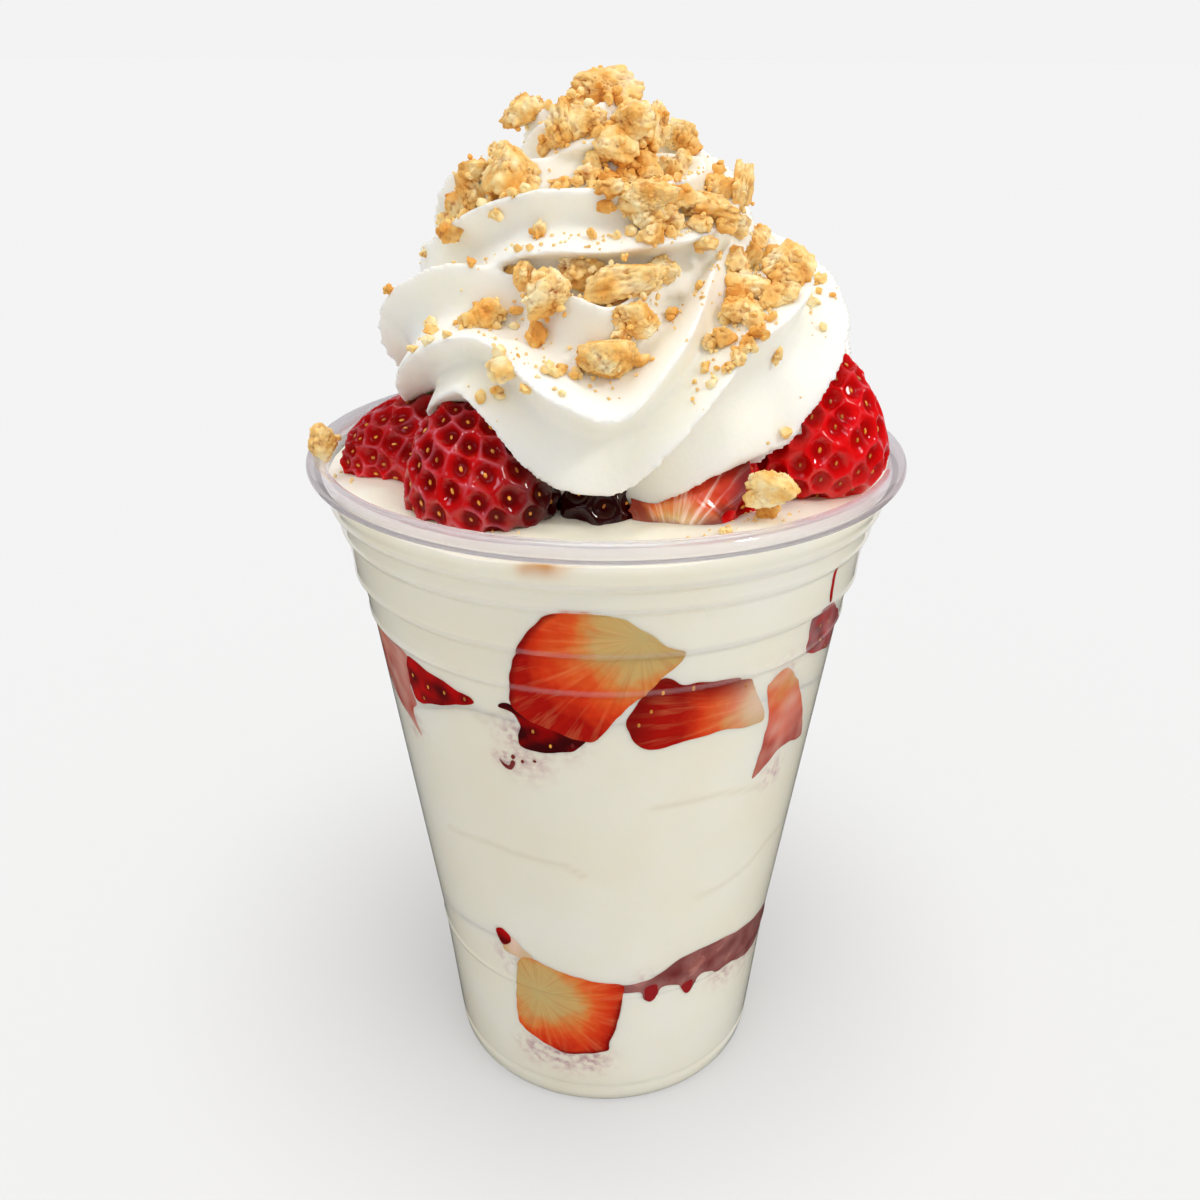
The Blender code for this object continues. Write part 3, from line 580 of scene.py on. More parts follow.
# Where juice shows in the cream at the wall: degrees, height, reach in mm and strength.
JUICE = ((-114, 79, 1.6, 0.6), (-108, 79.5, 3.5, 0.35), (-98, 83, 3.0, 0.2), (-105, 11.6, 3.6, 0.5),
         (-114, 12, 3.5, 0.45), (-95, 11.8, 3.5, 0.5), (-122, 34, 3.0, 0.3), (-121, 30, 2.5, 0.2),
         (-42, 70.5, 2.5, 0.45), (-110, 84.2, 3, 0.5), (-76, 31, 3, 0.25), (-45, 27, 4, 0.35),
         (-30, 27, 5, 0.35), (-45, 91.5, 3, 0.25), (-146, 78, 3, 0.35), (60, 22, 5, 0.4), (120, 80, 5, 0.4),
         (-170, 82, 5, 0.4), (20, 80, 5, 0.35), (90, 96, 4, 0.3))
# Crumb butter that ran down the wall: degrees, height, half width, half height and strength.
SYRUP = ((-100.5, 116.0, 2.6, 1.7, 1.0), (-97.2, 116.4, 2.0, 1.0, 0.8), (-103.8, 115.2, 1.3, 1.3, 0.6))
# Painted shade along faint folds at the wall where the cream was spooned in, and under the curled edge of the
# top cream: lines of degrees and height.
FOLD_SHADE_LINES = (((-138, 58.4), (-122, 59.8), (-110, 59.2), (-100, 58.6), (-96, 56.8)),
           ((-21, 53.8), (-35, 53.8), (-45, 51), (-56, 49.4), (-63, 49)),
           ((-79, 70.7), (-70, 71.2), (-59, 70.8), (-46, 68.8)),
           ((-143, 83), (-134, 84.2), (-126, 86.4), (-121, 87.0), (-118.5, 85.0), (-115.5, 87.2),
            (-112, 88.4)),
           ((20, 62), (45, 64), (80, 61)), ((110, 50), (140, 53), (165, 50)))


# %% One body of cream
def cream_piece(name, bottom, top, sink, tuck):
    """One body of cream between two surfaces, against the wall, its lower edge over the body below."""
    bm = bmesh.new()
    outline = [(share / 10, 0.0) for share in range(8)] + [(0.8 + share / 60, 0.0) for share in range(13)]
    outline += [(1.0, (row + 1) / CREAM_ROWS) for row in range(CREAM_ROWS)]
    outline += [(1.0 - (ring + 1) / SURFACE_RINGS, 1.0) for ring in range(SURFACE_RINGS)]
    points = [bm.verts.new((share, 0.0, rise)) for share, rise in outline]
    edges = [bm.edges.new(pair) for pair in zip(points, points[1:])]
    lathe(bm, points + edges, CREAM_STEPS, 0.0001)
    stain = bm.verts.layers.float.new("juice")
    butter = bm.verts.layers.float.new("syrup")
    fold_shade_layer = bm.verts.layers.float.new("fold_shade")
    for vert in bm.verts:
        share = math.hypot(vert.co.x, vert.co.y)
        degrees = math.degrees(math.atan2(vert.co.y, vert.co.x))
        low, high = bottom(degrees, share) - tuck * float(ease(share, 0.93, 1.0)), top(degrees, share)
        height = low + (high - low) * vert.co.z
        radius = share * (inner_radius(height) + sink)
        if share > STAINED_SHARE:
            for angle, level, reach, strength in JUICE:
                sideways = (degrees - angle + 180) % 360 - 180
                apart = math.hypot(math.radians(sideways) * radius, height - level)
                vert[stain] = max(vert[stain], strength * math.exp(-(apart / reach) ** 2))
            arc_mm = math.radians(1) * radius
            for angle, level, wide, tall, strength in SYRUP:
                apart = math.hypot((degrees - angle) * arc_mm / wide, (height - level) / tall)
                vert[butter] = max(vert[butter], strength * math.exp(-apart ** 2))
            # Painted shade: cream near a fold line is marked for the darker tint.
            for line in FOLD_SHADE_LINES:
                unrolled = [Vector((angle * arc_mm, level)) for angle, level in line]
                apart = distance_to(unrolled, Vector((degrees * arc_mm, height)))
                vert[fold_shade_layer] = max(vert[fold_shade_layer], FOLD_SHADE_STRENGTH * math.exp(-(apart / FOLD_SHADE_HALF_WIDTH) ** 2))
        vert.co = polar(radius, degrees, height)
    bmesh.ops.recalc_face_normals(bm, faces=bm.faces)
    return finish_piece(name, bm, [soft_cream], stands_for=[name.replace("_layer", "")],
                        sharp=70)


RING_SHARE = ring_inner / (FOOT_RADIUS - HEEL_RADIUS)


def cup_floor(degrees, share):
    """Height of the inside of the base: raised in the middle, with a channel in the standing ring."""
    return BASE_RECESS + WALL - CREAM_SINK - BASE_RECESS * float(ease(share, RING_SHARE - 0.04, RING_SHARE))


cream_piece("cream_bottom_layer", cup_floor, seam(LOWER_SEAM), CREAM_SINK, 0.0)
cream_piece("cream_middle_layer", seam(LOWER_SEAM), seam(UPPER_SEAM), CREAM_SINK + 0.02, 0.8)
cream_top = cream_piece("cream_top_layer", seam(UPPER_SEAM), top_level, CREAM_SINK + 0.04, 0.8)

# %% [markdown]
# ## Strawberry flesh and skin
# A cut strawberry is pale and almost yellow at its heart, orange around it and red at the
# rim, with fine white threads that run outwards to the seeds. The threads follow the
# fruit, so each cut face stores where its heart is, and the nodes read that.


# %% Cut flesh
def flesh_finish(name, gloss, thread_tint, thread_share):
    """Flesh that runs from its pale heart to the red rim."""
    finish, tree, shader, here = new_finish(
        name, Roughness=0.25, IOR=1.38, Subsurface_Weight=0.2, Subsurface_Scale=0.0015,
        Subsurface_Radius=(1.0, 0.3, 0.15), Coat_Weight=gloss, Coat_Roughness=0.1,
        Specular_IOR_Level=0.5 * gloss)
    from_heart = add_node(tree, "Attribute", attribute_name="from_heart")
    parts = add_node(tree, "SeparateXYZ", links={0: from_heart.outputs["Vector"]})
    flat = add_node(tree, "CombineXYZ", links={0: parts, 1: parts.outputs[1]})
    reach = add_node(tree, "VectorMath", links={0: flat}, operation="LENGTH")
    outwards = add_node(tree, "VectorMath", links={0: flat}, operation="NORMALIZE")
    blotches = add_node(tree, "TexNoise", {"Scale": 170.0, "Detail": 4.0, "Roughness": 0.6}, here)
    wander = add_node(tree, "MapRange", {"To Min": -0.30, "To Max": 0.30}, {"Value": blotches})
    ripeness = add_node(tree, "Math", links={0: reach.outputs["Value"], 1: wander}, operation="ADD")
    ripe = add_node(tree, "ValToRGB", links={0: ripeness},
                    stops=[(0.0, "C6B276"), (1.0, "A80E06"), (0.36, "CCA866"), (0.50, "DA8440"),
                           (0.62, "E25C24"), (0.80, "D83A14")])
    # Threads: a noise that changes quickly round the heart and slowly away from it.
    threads_at = add_node(tree, "VectorMath", {1: (8.0, 8.0, 8.0)}, {0: outwards, 2: flat},
                          operation="MULTIPLY_ADD")
    threads = add_node(tree, "TexNoise", {"Scale": 1.4, "Detail": 3.0, "Roughness": 0.6},
                       {"Vector": threads_at})
    pale_share = add_node(tree, "MapRange", {"From Min": 0.50, "From Max": 0.75, "To Max": thread_share},
                          {"Value": threads})
    valley_share = add_node(tree, "MapRange", {"From Min": 0.50, "From Max": 0.28, "To Max": 0.30},
                            {"Value": threads})
    rim = add_node(tree, "MapRange", {"From Min": 0.2, "From Max": 1.0, "To Min": 0.85, "To Max": 0.0},
                   {"Value": parts.outputs[2]})
    paint(tree, shader, ripe, (pale_share, thread_tint), (valley_share, "BE2408"), (rim, "780604"),
          ("film", "F0CDB8"))
    emboss(tree, shader, (threads, 0.3, 0.0003))
    return finish


# Flesh that is pressed on the plastic has no air in front of it, so it has almost no gloss.
cut_flesh = flesh_finish("pressed strawberry flesh", 0.05, "F0A468", 0.30)
open_flesh = flesh_finish("open strawberry flesh", 0.8, "FBE3D0", 0.85)

# %% [markdown]
# The skin is deep red and wet. Each seed sits at the bottom of a pit, painted darker than the
# ridges between the pits as painted shade. A clear coat gives the sharp glints of the juice on it.

# %% Skin, seeds and pulp
def skin_finish(name, coat, tones, deep_red_and_shade_code):
    """Wet red skin, with painted shade in its pits."""
    finish, tree, shader, here = new_finish(
        name, Roughness=0.3, IOR=1.4, Coat_Roughness=0.05, Specular_IOR_Level=0.04 * coat,
        Subsurface_Weight=0.08, Subsurface_Scale=0.001, Subsurface_Radius=(1.0, 0.15, 0.1))
    pit = add_node(tree, "Attribute", attribute_name="pit").outputs["Fac"]
    # Painted shade: the deeper in a pit, the darker the red.
    pit_shade_tone = add_node(tree, "ValToRGB", links={0: pit},
                          stops=[(0.0, tones[0]), (1.0, tones[2]), (0.5, tones[1])])
    # The juice drains off the slopes of the pits, so the ridges keep the thicker film.
    juice = add_node(tree, "MapRange", {"To Min": coat, "To Max": 0.2 * coat}, {"Value": pit})
    tree.links.new(juice.outputs[0], shader.inputs["Coat Weight"])
    blush = add_node(tree, "TexNoise", {"Scale": 90.0, "Detail": 3.0}, here)
    blush_share = add_node(tree, "MapRange", {"From Min": 0.45, "From Max": 0.75, "To Max": 0.45},
                           {"Value": blush})
    # Painted sheen: a pale pink on the ridges between the pits.
    paint(tree, shader, pit_shade_tone, (blush_share, "DC0602"), ("painted_sheen", "E07C8A"), ("deep", deep_red_and_shade_code),
          ("film", "C9A3A0"))
    pores = add_node(tree, "TexNoise", {"Scale": 1400.0, "Detail": 2.0}, here)
    # Drops of juice break the shine into glints.
    drops = add_node(tree, "TexNoise", {"Scale": 620.0, "Detail": 1.0}, here)
    emboss(tree, shader, (pores, 0.2, 0.0001), (drops, 0.75, 0.0003))
    return finish


skin = skin_finish("strawberry skin", 0.9, ("D60306", "BE0002", "820002"), "260001")
wall_skin = skin_finish("pressed strawberry skin", 0.04, ("B00404", "980405", "6A0203"), "3A0204")

seed_skin, tree, shader, here = new_finish("strawberry seed", Roughness=0.35, IOR=1.5, Coat_Weight=0.7,
                                           Coat_Roughness=0.1)
husk = add_node(tree, "TexNoise", {"Scale": 300.0}, here)
paint(tree, shader, add_node(tree, "ValToRGB", links={0: husk}, stops=[(0.35, "9C5414"), (0.60, "F0A234")]))

pulp, tree, shader, here = new_finish("soft strawberry pulp", Roughness=0.3, IOR=1.38, Specular_IOR_Level=0.1)
mash = add_node(tree, "TexNoise", {"Scale": 230.0, "Detail": 4.0, "Distortion": 0.5}, here)
tones = add_node(tree, "ValToRGB", links={0: mash},
                 stops=[(0.30, "5E0C0C"), (0.72, "B87468"), (0.46, "702020"), (0.60, "86403A")])
paint(tree, shader, tones, ("film", "BE8C84"), ("fresh", "9C0C14"))
emboss(tree, shader, (mash, 0.5, 0.0004))
print("strawberry finishes ready")

# %% [markdown]
# ## Strawberries at the wall
# Each piece that shows through the wall is a slice pressed flat against it. Its outline is
# drawn on the unrolled wall in degrees and millimetres, filled, thickened inwards, cut
# into small faces so that it can bend, and then rolled round the tumbler.

# %% Outlines at the front
# heart: where the pale middle lies. ripe: millimetres from there to full red. skin: first
# and last corner of the outline with skin on it, and the width of the red rim there.
WALL_BERRIES = {
    "upper_half": dict(depth=11, proud=0.20, heart=(-83, 103.5), ripe=17.5, skin=(14, 19, 1.1), outline=(
        (-110.6, 92.7), (-110.8, 90.1), (-108.2, 88.0), (-102.1, 86.2), (-95.2, 84.6), (-91.7, 84.9),
        (-86.7, 89.7), (-81.9, 93.1), (-78.1, 96.1), (-73.9, 99.8), (-78.0, 101.9), (-85.8, 106.4),
        (-90.8, 107.7), (-94.3, 108.2), (-100.1, 107.6), (-105.1, 103.9), (-107.9, 100.2), (-109.5, 97.0))),
    "upper_wedge": dict(depth=8, proud=0.16, heart=(-47, 88), ripe=19, skin=(13, 19, 4.5),
                        blanched=(-52, 88, 5), outline=(
        (-85.2, 88.9), (-81.9, 93.1), (-78.1, 95.9), (-73.7, 94.2), (-68.4, 94.0), (-57.9, 93.0),
        (-55.0, 90.5), (-50.2, 83.9), (-53.3, 82.9), (-62.6, 84.0), (-72.3, 83.4), (-78.6, 82.6),
        (-82.2, 83.2), (-84.8, 86.0))),
    "upper_left_pale": dict(depth=9, proud=0.12, heart=(-176, 97), ripe=20, skin=(0, 0, 1.0), film=0.5,
                            outline=(
        (-166, 91), (-155, 92.4), (-146, 92.9), (-141.6, 92.0), (-139.6, 89.8), (-142.6, 85.6),
        (-141.6, 82.8), (-144.0, 80.8), (-144.4, 78.8), (-142.6, 76.1), (-144.2, 76.4), (-148.5, 78.3),
        (-158, 81.0), (-166, 85))),
    "upper_right_pale": dict(depth=8, proud=0.12, heart=(-34, 101), ripe=26, skin=(0, 0, 1.0), film=0.38,
                             outline=(
        (-51.0, 89.0), (-50.2, 90.3), (-45.4, 91.8), (-40.0, 88.2), (-35.0, 83.0), (-30.3, 77.2),
        (-28.2, 73.4), (-36.0, 74.6), (-41.6, 74.9), (-46.0, 73.0), (-49.4, 71.6), (-50.4, 71.9),
        (-49.6, 75.0), (-48.7, 79.5), (-48.6, 83.5))),
    "lower_cut": dict(depth=10, proud=0.16, heart=(-112, 27), ripe=16.5, skin=(5, 10, 0.9), outline=(
        (-117.9, 33.7), (-112.9, 34.9), (-104.1, 33.6), (-93.8, 31.9), (-84.4, 31.0), (-84.2, 26.8),
        (-85.8, 20.8), (-87.9, 16.1), (-89.2, 14.3), (-98.3, 13.1), (-105.9, 13.0), (-114.0, 14.8),
        (-119.5, 16.7), (-121.0, 18.2), (-120.4, 25.5))),
}
WALL_SKINS = {
    # upper_dark is dark skin, and its outline also covers the shaded gap beside it, as painted shade.
    "upper_dark": dict(depth=8, proud=0.12, deep=0.85, outline=(
        (-114.1, 89.1), (-112.0, 90.0), (-108.1, 88.8), (-102.0, 87.2), (-95.2, 85.2), (-93.8, 84.6),
        (-97.4, 82.6), (-102.4, 81.8), (-108.9, 82.0), (-109.8, 83.7), (-108.9, 86.1), (-110.5, 88.1))),
    "upper_left_red": dict(depth=9, proud=0.16, deep=0.4, outline=(
        (-141.4, 91.6), (-135.1, 91.3), (-127.1, 90.2), (-120.7, 88.9), (-122.1, 87.7), (-134.2, 84.7),
        (-140.3, 83.4), (-142.4, 85.6))),
    "upper_right_edge": dict(depth=8, proud=0.12, deep=0.12, film=0.42, outline=(
        (-39.9, 99.3), (-35.0, 100.6), (-27.0, 98.0), (-18.0, 92.5), (-20.0, 88.6), (-30.0, 90.4),
        (-38.7, 92.7), (-39.4, 95.6))),
    "upper_right_streak": dict(depth=5, proud=0.12, deep=0.2, outline=(
        (-37.4, 107.8), (-36.3, 107.7), (-35.7, 104.9), (-35.0, 101.4), (-36.2, 101.5), (-37.0, 105.0))),
    "lower_chip": dict(depth=4, proud=0.20, deep=0.35, outline=(
        (-125.0, 38.8), (-124.0, 39.9), (-122.0, 40.2), (-119.9, 38.6), (-120.4, 37.1), (-123.4, 36.3))),
}
# The same at the back: middle, length, width, lean of the long axis and depth.
BACK_BERRIES = {
    "upper_back_a": (2, 84, 21, 17, 25, 9), "upper_back_b": (34, 91, 24, 15, -15, 9),
    "upper_back_c": (66, 85, 19, 15, 60, 9), "upper_back_d": (97, 90, 24, 18, 10, 10),
    "upper_back_e": (131, 83, 20, 13, -35, 8), "upper_back_f": (163, 90, 22, 14, 15, 9),
    "lower_back_a": (48, 24, 20, 14, -20, 9), "lower_back_b": (118, 31, 22, 15, 15, 9),
    "lower_back_c": (178, 27, 18, 13, 30, 8),
}


# %% Cutting, rolling and colouring a slice
CURVE_STEPS = 6
SEED_SPACING = 3.7
SEED_ROW_SHARE = 0.86
SEED_SCATTER = 0.45
SEED_FROM_EDGE = 0.6
WALL_SEED_SIZE = (0.14, 0.26, 0.42)
WALL_SEED_SINK = 0.04
TEAR = 0.3
TEAR_SCALE = 0.45
BACK_SHRINK = 0.85
COLUMN_WIDTH = 0.9
ROW_HEIGHT = 0.6
WIDE_RIM = 3
FILM_SCALE = 0.35
FILM_SWING = 0.8
DARK_SWING = 0.9
WALL_PIT = (0.4, 1.6)
TEARDROP_CORNERS = 12


def smooth_loop(corners):
    """A closed curve through the corners, each stretch bent by its neighbours."""
    out = []
    for index, here in enumerate(corners):
        before, after, beyond = (corners[(index + step) % len(corners)] for step in (-1, 1, 2))
        for part in range(CURVE_STEPS):
            t = part / CURVE_STEPS
            out.append(0.5 * (2 * here + (after - before) * t
                              + (2 * before - 5 * here + 4 * after - beyond) * t * t
                              + (3 * here - before - 3 * after + beyond) * t ** 3))
    return out


def slice_up(bm, spacing, normal, low, high):
    """Cuts a slice by a row of parallel planes."""
    normal = Vector(normal)
    geom = bm.verts[:] + bm.edges[:] + bm.faces[:]
    at = low + spacing / 2
    while at < high:
        geom = bmesh.ops.bisect_plane(bm, geom=geom, dist=1e-5, plane_co=normal * at, plane_no=normal)["geom"]
        at += spacing


wall_seeds = bmesh.new()


def seed_spots(loop, rng):
    """Places of the seeds on a pressed piece of skin, in uneven rows."""
    xs, ys = [spot.x for spot in loop], [spot.y for spot in loop]
    spots = []
    for row in range(int((max(ys) - min(ys)) / (SEED_ROW_SHARE * SEED_SPACING)) + 1):
        for column in range(int((max(xs) - min(xs)) / SEED_SPACING) + 2):
            spot = Vector((min(xs) + (column - 0.5 * (row % 2)) * SEED_SPACING,
                           min(ys) + (row + 0.4) * SEED_ROW_SHARE * SEED_SPACING))
            spot += Vector((rng.gauss(0, SEED_SCATTER), rng.gauss(0, SEED_SCATTER)))
            inside = sum((start.y > spot.y) != (end.y > spot.y)
                         and spot.x < start.x + (end.x - start.x) * (spot.y - start.y) / (end.y - start.y)
                         for start, end in zip(loop, loop[1:] + loop[:1])) % 2
            if inside and distance_to(loop + loop[:1], spot) > SEED_FROM_EDGE:
                spots.append(spot)
    return spots


# %% One slice on the wall
def wall_slice(name, outline, depth, proud, slot, finish, heart=None, ripe=15.0, skin=(0, 0, 1.0), film=0.0,
               deep=0.0, fresh=0.0, blanched=None, stands_for=None):
    """A flat slice rolled against the inside of the wall."""
    middle_angle = sum(corner[0] for corner in outline) / len(outline)
    middle_height = sum(corner[1] for corner in outline) / len(outline)
    radius = inner_radius(middle_height)

    def unrolled(degrees, height):
        return Vector((math.radians(degrees - middle_angle) * radius, height - middle_height))

    corners = [unrolled(*corner) for corner in outline]
    shift = random.Random(name).uniform(0, 50)
    loop = smooth_loop(corners)
    for spot in loop:
        torn = Vector((spot.x * TEAR_SCALE, spot.y * TEAR_SCALE, shift))
        spot += Vector((noise.noise(torn), noise.noise(torn + Vector((9, 4, 2))))) * TEAR
    bm = bmesh.new()
    points = [bm.verts.new((spot.x, spot.y, 0.0)) for spot in loop]
    face = bm.faces.new(points)
    pushed = bmesh.ops.extrude_face_region(bm, geom=[face])
    back = [item for item in pushed["geom"] if isinstance(item, bmesh.types.BMVert)]
    for vert in back:
        vert.co = Vector((vert.co.x * BACK_SHRINK, vert.co.y * BACK_SHRINK, -depth))
    xs, ys = [spot.x for spot in loop], [spot.y for spot in loop]
    slice_up(bm, COLUMN_WIDTH, (1, 0, 0), min(xs), max(xs))
    slice_up(bm, ROW_HEIGHT, (0, 1, 0), min(ys), max(ys))
    place_layer = bm.verts.layers.float_vector.new("from_heart")
    tone_layers = {key: bm.verts.layers.float.new(key) for key in ("film", "deep", "fresh", "pit")}
    heart_spot = unrolled(*heart) if heart else Vector((0, 0))
    first, last, rim_width = skin
    skin_line = [loop[part % len(loop)] for part in range(first * CURVE_STEPS, last * CURVE_STEPS)]
    seeds = []
    if finish is wall_skin or rim_width > WIDE_RIM:
        seeds = seed_spots(loop, random.Random(name + " seeds"))
    if rim_width > WIDE_RIM:
        seeds = [spot for spot in seeds if distance_to(skin_line, spot) < 0.6 * rim_width]
    for vert in bm.verts:
        spot = vert.co.xy
        away = (spot - heart_spot) / ripe
        edge = distance_to(skin_line, spot) / rim_width if skin_line else 9.0
        vert[place_layer] = (away.x, away.y, edge)
        cloud = noise.noise(Vector((spot.x * FILM_SCALE, spot.y * FILM_SCALE, shift)))
        milky = film * (0.7 + FILM_SWING * cloud)
        if blanched:
            milky += 0.8 * math.exp(-((spot - unrolled(*blanched[:2])).length / blanched[2]) ** 2)
        vert[tone_layers["film"]] = max(0.0, min(0.9, milky))
        dark = deep + DARK_SWING * noise.noise(Vector((spot.x * 0.3, spot.y * 0.4, shift + 7)))
        vert[tone_layers["deep"]] = max(0.0, min(1.0, dark))
        vert[tone_layers["fresh"]] = fresh
        if seeds:
            vert[tone_layers["pit"]] = 1 - float(ease(min((spot - seed).length for seed in seeds), *WALL_PIT))
        height = middle_height + vert.co.y
        angle = middle_angle + math.degrees(vert.co.x / radius)
        vert.co = polar(inner_radius(height) + proud + vert.co.z, angle, height)
    for seed in seeds:
        height = middle_height + seed.y
        angle = middle_angle + math.degrees(seed.x / radius)
        turn = Matrix.Rotation(math.radians(angle), 4, "Z")
        seat = Matrix.Translation(polar(inner_radius(height) + proud - WALL_SEED_SINK, angle, height))
        bmesh.ops.create_uvsphere(wall_seeds, u_segments=8, v_segments=5, radius=MM,
                                  matrix=seat @ turn @ Matrix.Diagonal((*WALL_SEED_SIZE, 1)))
    bmesh.ops.recalc_face_normals(bm, faces=bm.faces)
    finish_piece(name + "_slice", bm, [finish], stands_for=[name] if stands_for is None else stands_for,
                 into=berries)


# %% Slices all round the tumbler
for name, values in WALL_BERRIES.items():
    wall_slice(name, slot="strawberry_flesh", finish=cut_flesh, **values)
for name, values in WALL_SKINS.items():
    wall_slice(name, slot="strawberry_skin", finish=wall_skin, **values)


def teardrop(middle, length, width, lean):
    """Outline of a berry cut lengthwise, pointed at one end, on the unrolled wall."""
    degrees, height = middle
    corners = []
    for index in range(TEARDROP_CORNERS):
        turn = -2 * math.pi * index / TEARDROP_CORNERS
        along = length / 2 * math.cos(turn)
        across = width / 2 * math.sin(turn) * (1.0 - 0.35 * math.cos(turn))
        spot = Matrix.Rotation(math.radians(lean), 2) @ Vector((along, across))
        corners.append((degrees + math.degrees(spot.x / inner_radius(height)), height + spot.y))
    return tuple(corners)


for name, (degrees, height, length, width, lean, depth) in BACK_BERRIES.items():
    outline = teardrop((degrees, height), length, width, lean)
    if name in ("upper_back_c", "upper_back_e"):
        wall_slice(name, outline, depth, 0.14, "strawberry_flesh", wall_skin, deep=0.3)
    else:
        wall_slice(name, outline, depth, 0.16, "strawberry_flesh", cut_flesh, heart=(degrees, height),
                   ripe=length * 0.52,
                   skin=(0, 13, 1.2))

# %% [markdown]
# The lower layer shows as a thin red line that swells into a dark band of soft pulp with
# drips. It is one long slice, made in the same way as the strawberries.

# %% Band of pulp in the lower layer
PULP_BAND = ((-100, 32.4), (-92, 31.2), (-83.9, 31.0), (-77, 31.3), (-72.0, 32.6), (-66, 35.0), (-58, 35.8),
             (-48, 35.4), (-37.3, 34.3), (-24, 33.2), (-10, 32.4), (8, 32.6), (20, 33.2), (22, 30.6),
             (6, 28.4), (-10, 26.2), (-24.5, 24.6), (-35.1, 25.5), (-44, 27.6), (-48.8, 27.2), (-53, 28.6),
             (-57.1, 28.9), (-59.4, 26.6), (-61.3, 25.5), (-63.0, 26.6), (-65.6, 28.3), (-71.0, 28.9),
             (-73.0, 26.9), (-75.0, 26.0), (-77.0, 26.8), (-78.4, 28.6), (-83.8, 28.9), (-92, 30.2),
             (-100, 31.4))
wall_slice("lower_chopped", PULP_BAND, 7, 0.12, "chopped_strawberry", pulp, film=0.35)
DRIPS = {"drip_left": ((-76.9, 29.6), (-73.2, 30.0), (-72.6, 28.4), (-73.4, 26.6), (-75.0, 25.9),
                       (-76.6, 26.9)),
         "drip_right": ((-63.6, 28.0), (-59.8, 28.3), (-60.0, 26.4), (-61.3, 25.4), (-62.8, 26.2))}
for name, outline in DRIPS.items():
    wall_slice(name, outline, 2, 0.2, "chopped_strawberry", pulp, fresh=0.8, stands_for=())

# Small torn bits in the cream next to the strawberries.
SCRAPS = {"scrap_hook": ((-115.4, 78.8), (-114.5, 77.6), (-112.3, 77.3), (-111.1, 78.8), (-111.9, 79.0),
                         (-112.9, 77.9), (-114.6, 78.2)),
          "scrap_a": ((-112.1, 79.8), (-111.6, 79.3), (-111.1, 79.8), (-111.6, 80.3)),
          "scrap_b": ((-109.8, 79.2), (-109.3, 78.8), (-108.8, 79.2), (-109.3, 79.6)),
          "scrap_c": ((-97.7, 83.6), (-97.2, 83.1), (-96.7, 83.6), (-97.2, 84.1)),
          "scrap_d": ((-106.8, 79.7), (-106.3, 79.4), (-105.9, 79.7), (-106.3, 80.0))}
for name, outline in SCRAPS.items():
    wall_slice(name, outline, 0.8, 0.2, "chopped_strawberry", pulp, stands_for=())
PALE_SCRAPS = {"scrap_pale": ((-123.2, 35.2), (-120.1, 38.7), (-116.6, 37.4), (-112.3, 35.0), (-117.2, 34.3))}
for name, outline in PALE_SCRAPS.items():
    wall_slice(name, outline, 2, 0.1, "strawberry_flesh", cut_flesh, heart=(-116, 36), ripe=16, film=0.8,
               stands_for=())
bmesh.ops.recalc_face_normals(wall_seeds, faces=wall_seeds.faces)
finish_piece("wall_seeds", wall_seeds, [seed_skin], into=berries)
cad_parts["upper_chopped"].data.materials.clear()
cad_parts["upper_chopped"].data.materials.append(pulp)

# %% [markdown]
# ## Strawberries on top
# A strawberry is a blunt cone covered with pits, about 4 mm apart, with a seed in each. A
# bump map can't show the deep pits from the side, so they are real. The pits are spread
# evenly by turning each one a golden angle further than the last, and every point of the
# skin sinks by how near it is to a pit and rises between two of them.

# %% Sizes of the strawberries
TOP_BERRIES = {
    "top_left": ((-29.8, -3.5, 117.0), 28, 24.5, (-0.92, -0.25, 0.1), ((-30, -4, 116.2), (0, 0, -1))),
    "top_front_left": ((-18.2, -22.4, 121.4), 24, 24.5, (-0.35, -0.1, 1.0), None),
    "top_front_dark": ((-1.5, -22.6, 115.6), 14, 13.5, (0.1, 1.0, 0.1), None),
    "top_front_cut": ((12.8, -24.4, 118.6), 22, 17, (-0.9, -0.30, -0.32),
                      ((12.5, -28.9, 119.6), (-0.25, -0.75, 0.6))),
    "top_right": ((32.3, -11.6, 125.0), 25, 23, (0.14, -0.10, 0.95), None),
    "top_back_right": ((26.0, 20.5, 124.0), 24, 21, (0.5, 0.4, 0.8), None),
    "top_back": ((2.0, 31.5, 122.5), 25, 21, (-0.8, 0.5, 0.3), None),
    "top_back_left": ((-24.0, 23.5, 122.5), 22, 21, (-0.2, 0.4, 0.9), None),
}
# How much darker red each berry is: partly its own deeper red, and on top_front_dark painted shade under the
# swirl.
DEEP_RED_AND_SHADE = {"top_left": 0.40, "top_front_left": 0.34, "top_front_dark": 1.0, "top_back": 0.3}
PIT_SPACING = 3.9
PIT_FLOOR = 0.85
PIT_RADIUS = 1.95
PIT_DEPTH = 0.72
RIDGE_HEIGHT = 0.22
# Painted sheen on the ridges of the two berries on the left.
PAINTED_SHEEN_STRENGTH = {"top_left": 0.46, "top_front_left": 0.50}
# How strong the painted shade in the pits is on some berries.
PIT_SHADE_STRENGTH = {"top_right": 0.72, "top_left": 0.8}
BERRY_TAPER = 0.24
BERRY_ROUNDING = 0.10
SEED_SIZE = (0.25, 0.46, 0.20)
SEED_SINK_SHARE = 0.88
LUMP_HEIGHT = 1.1
LUMP_SCALE = 0.11
PATCH_SCALE = 0.3
AREA_SHARE = 0.9
PIT_CELL_SHARE = 0.87
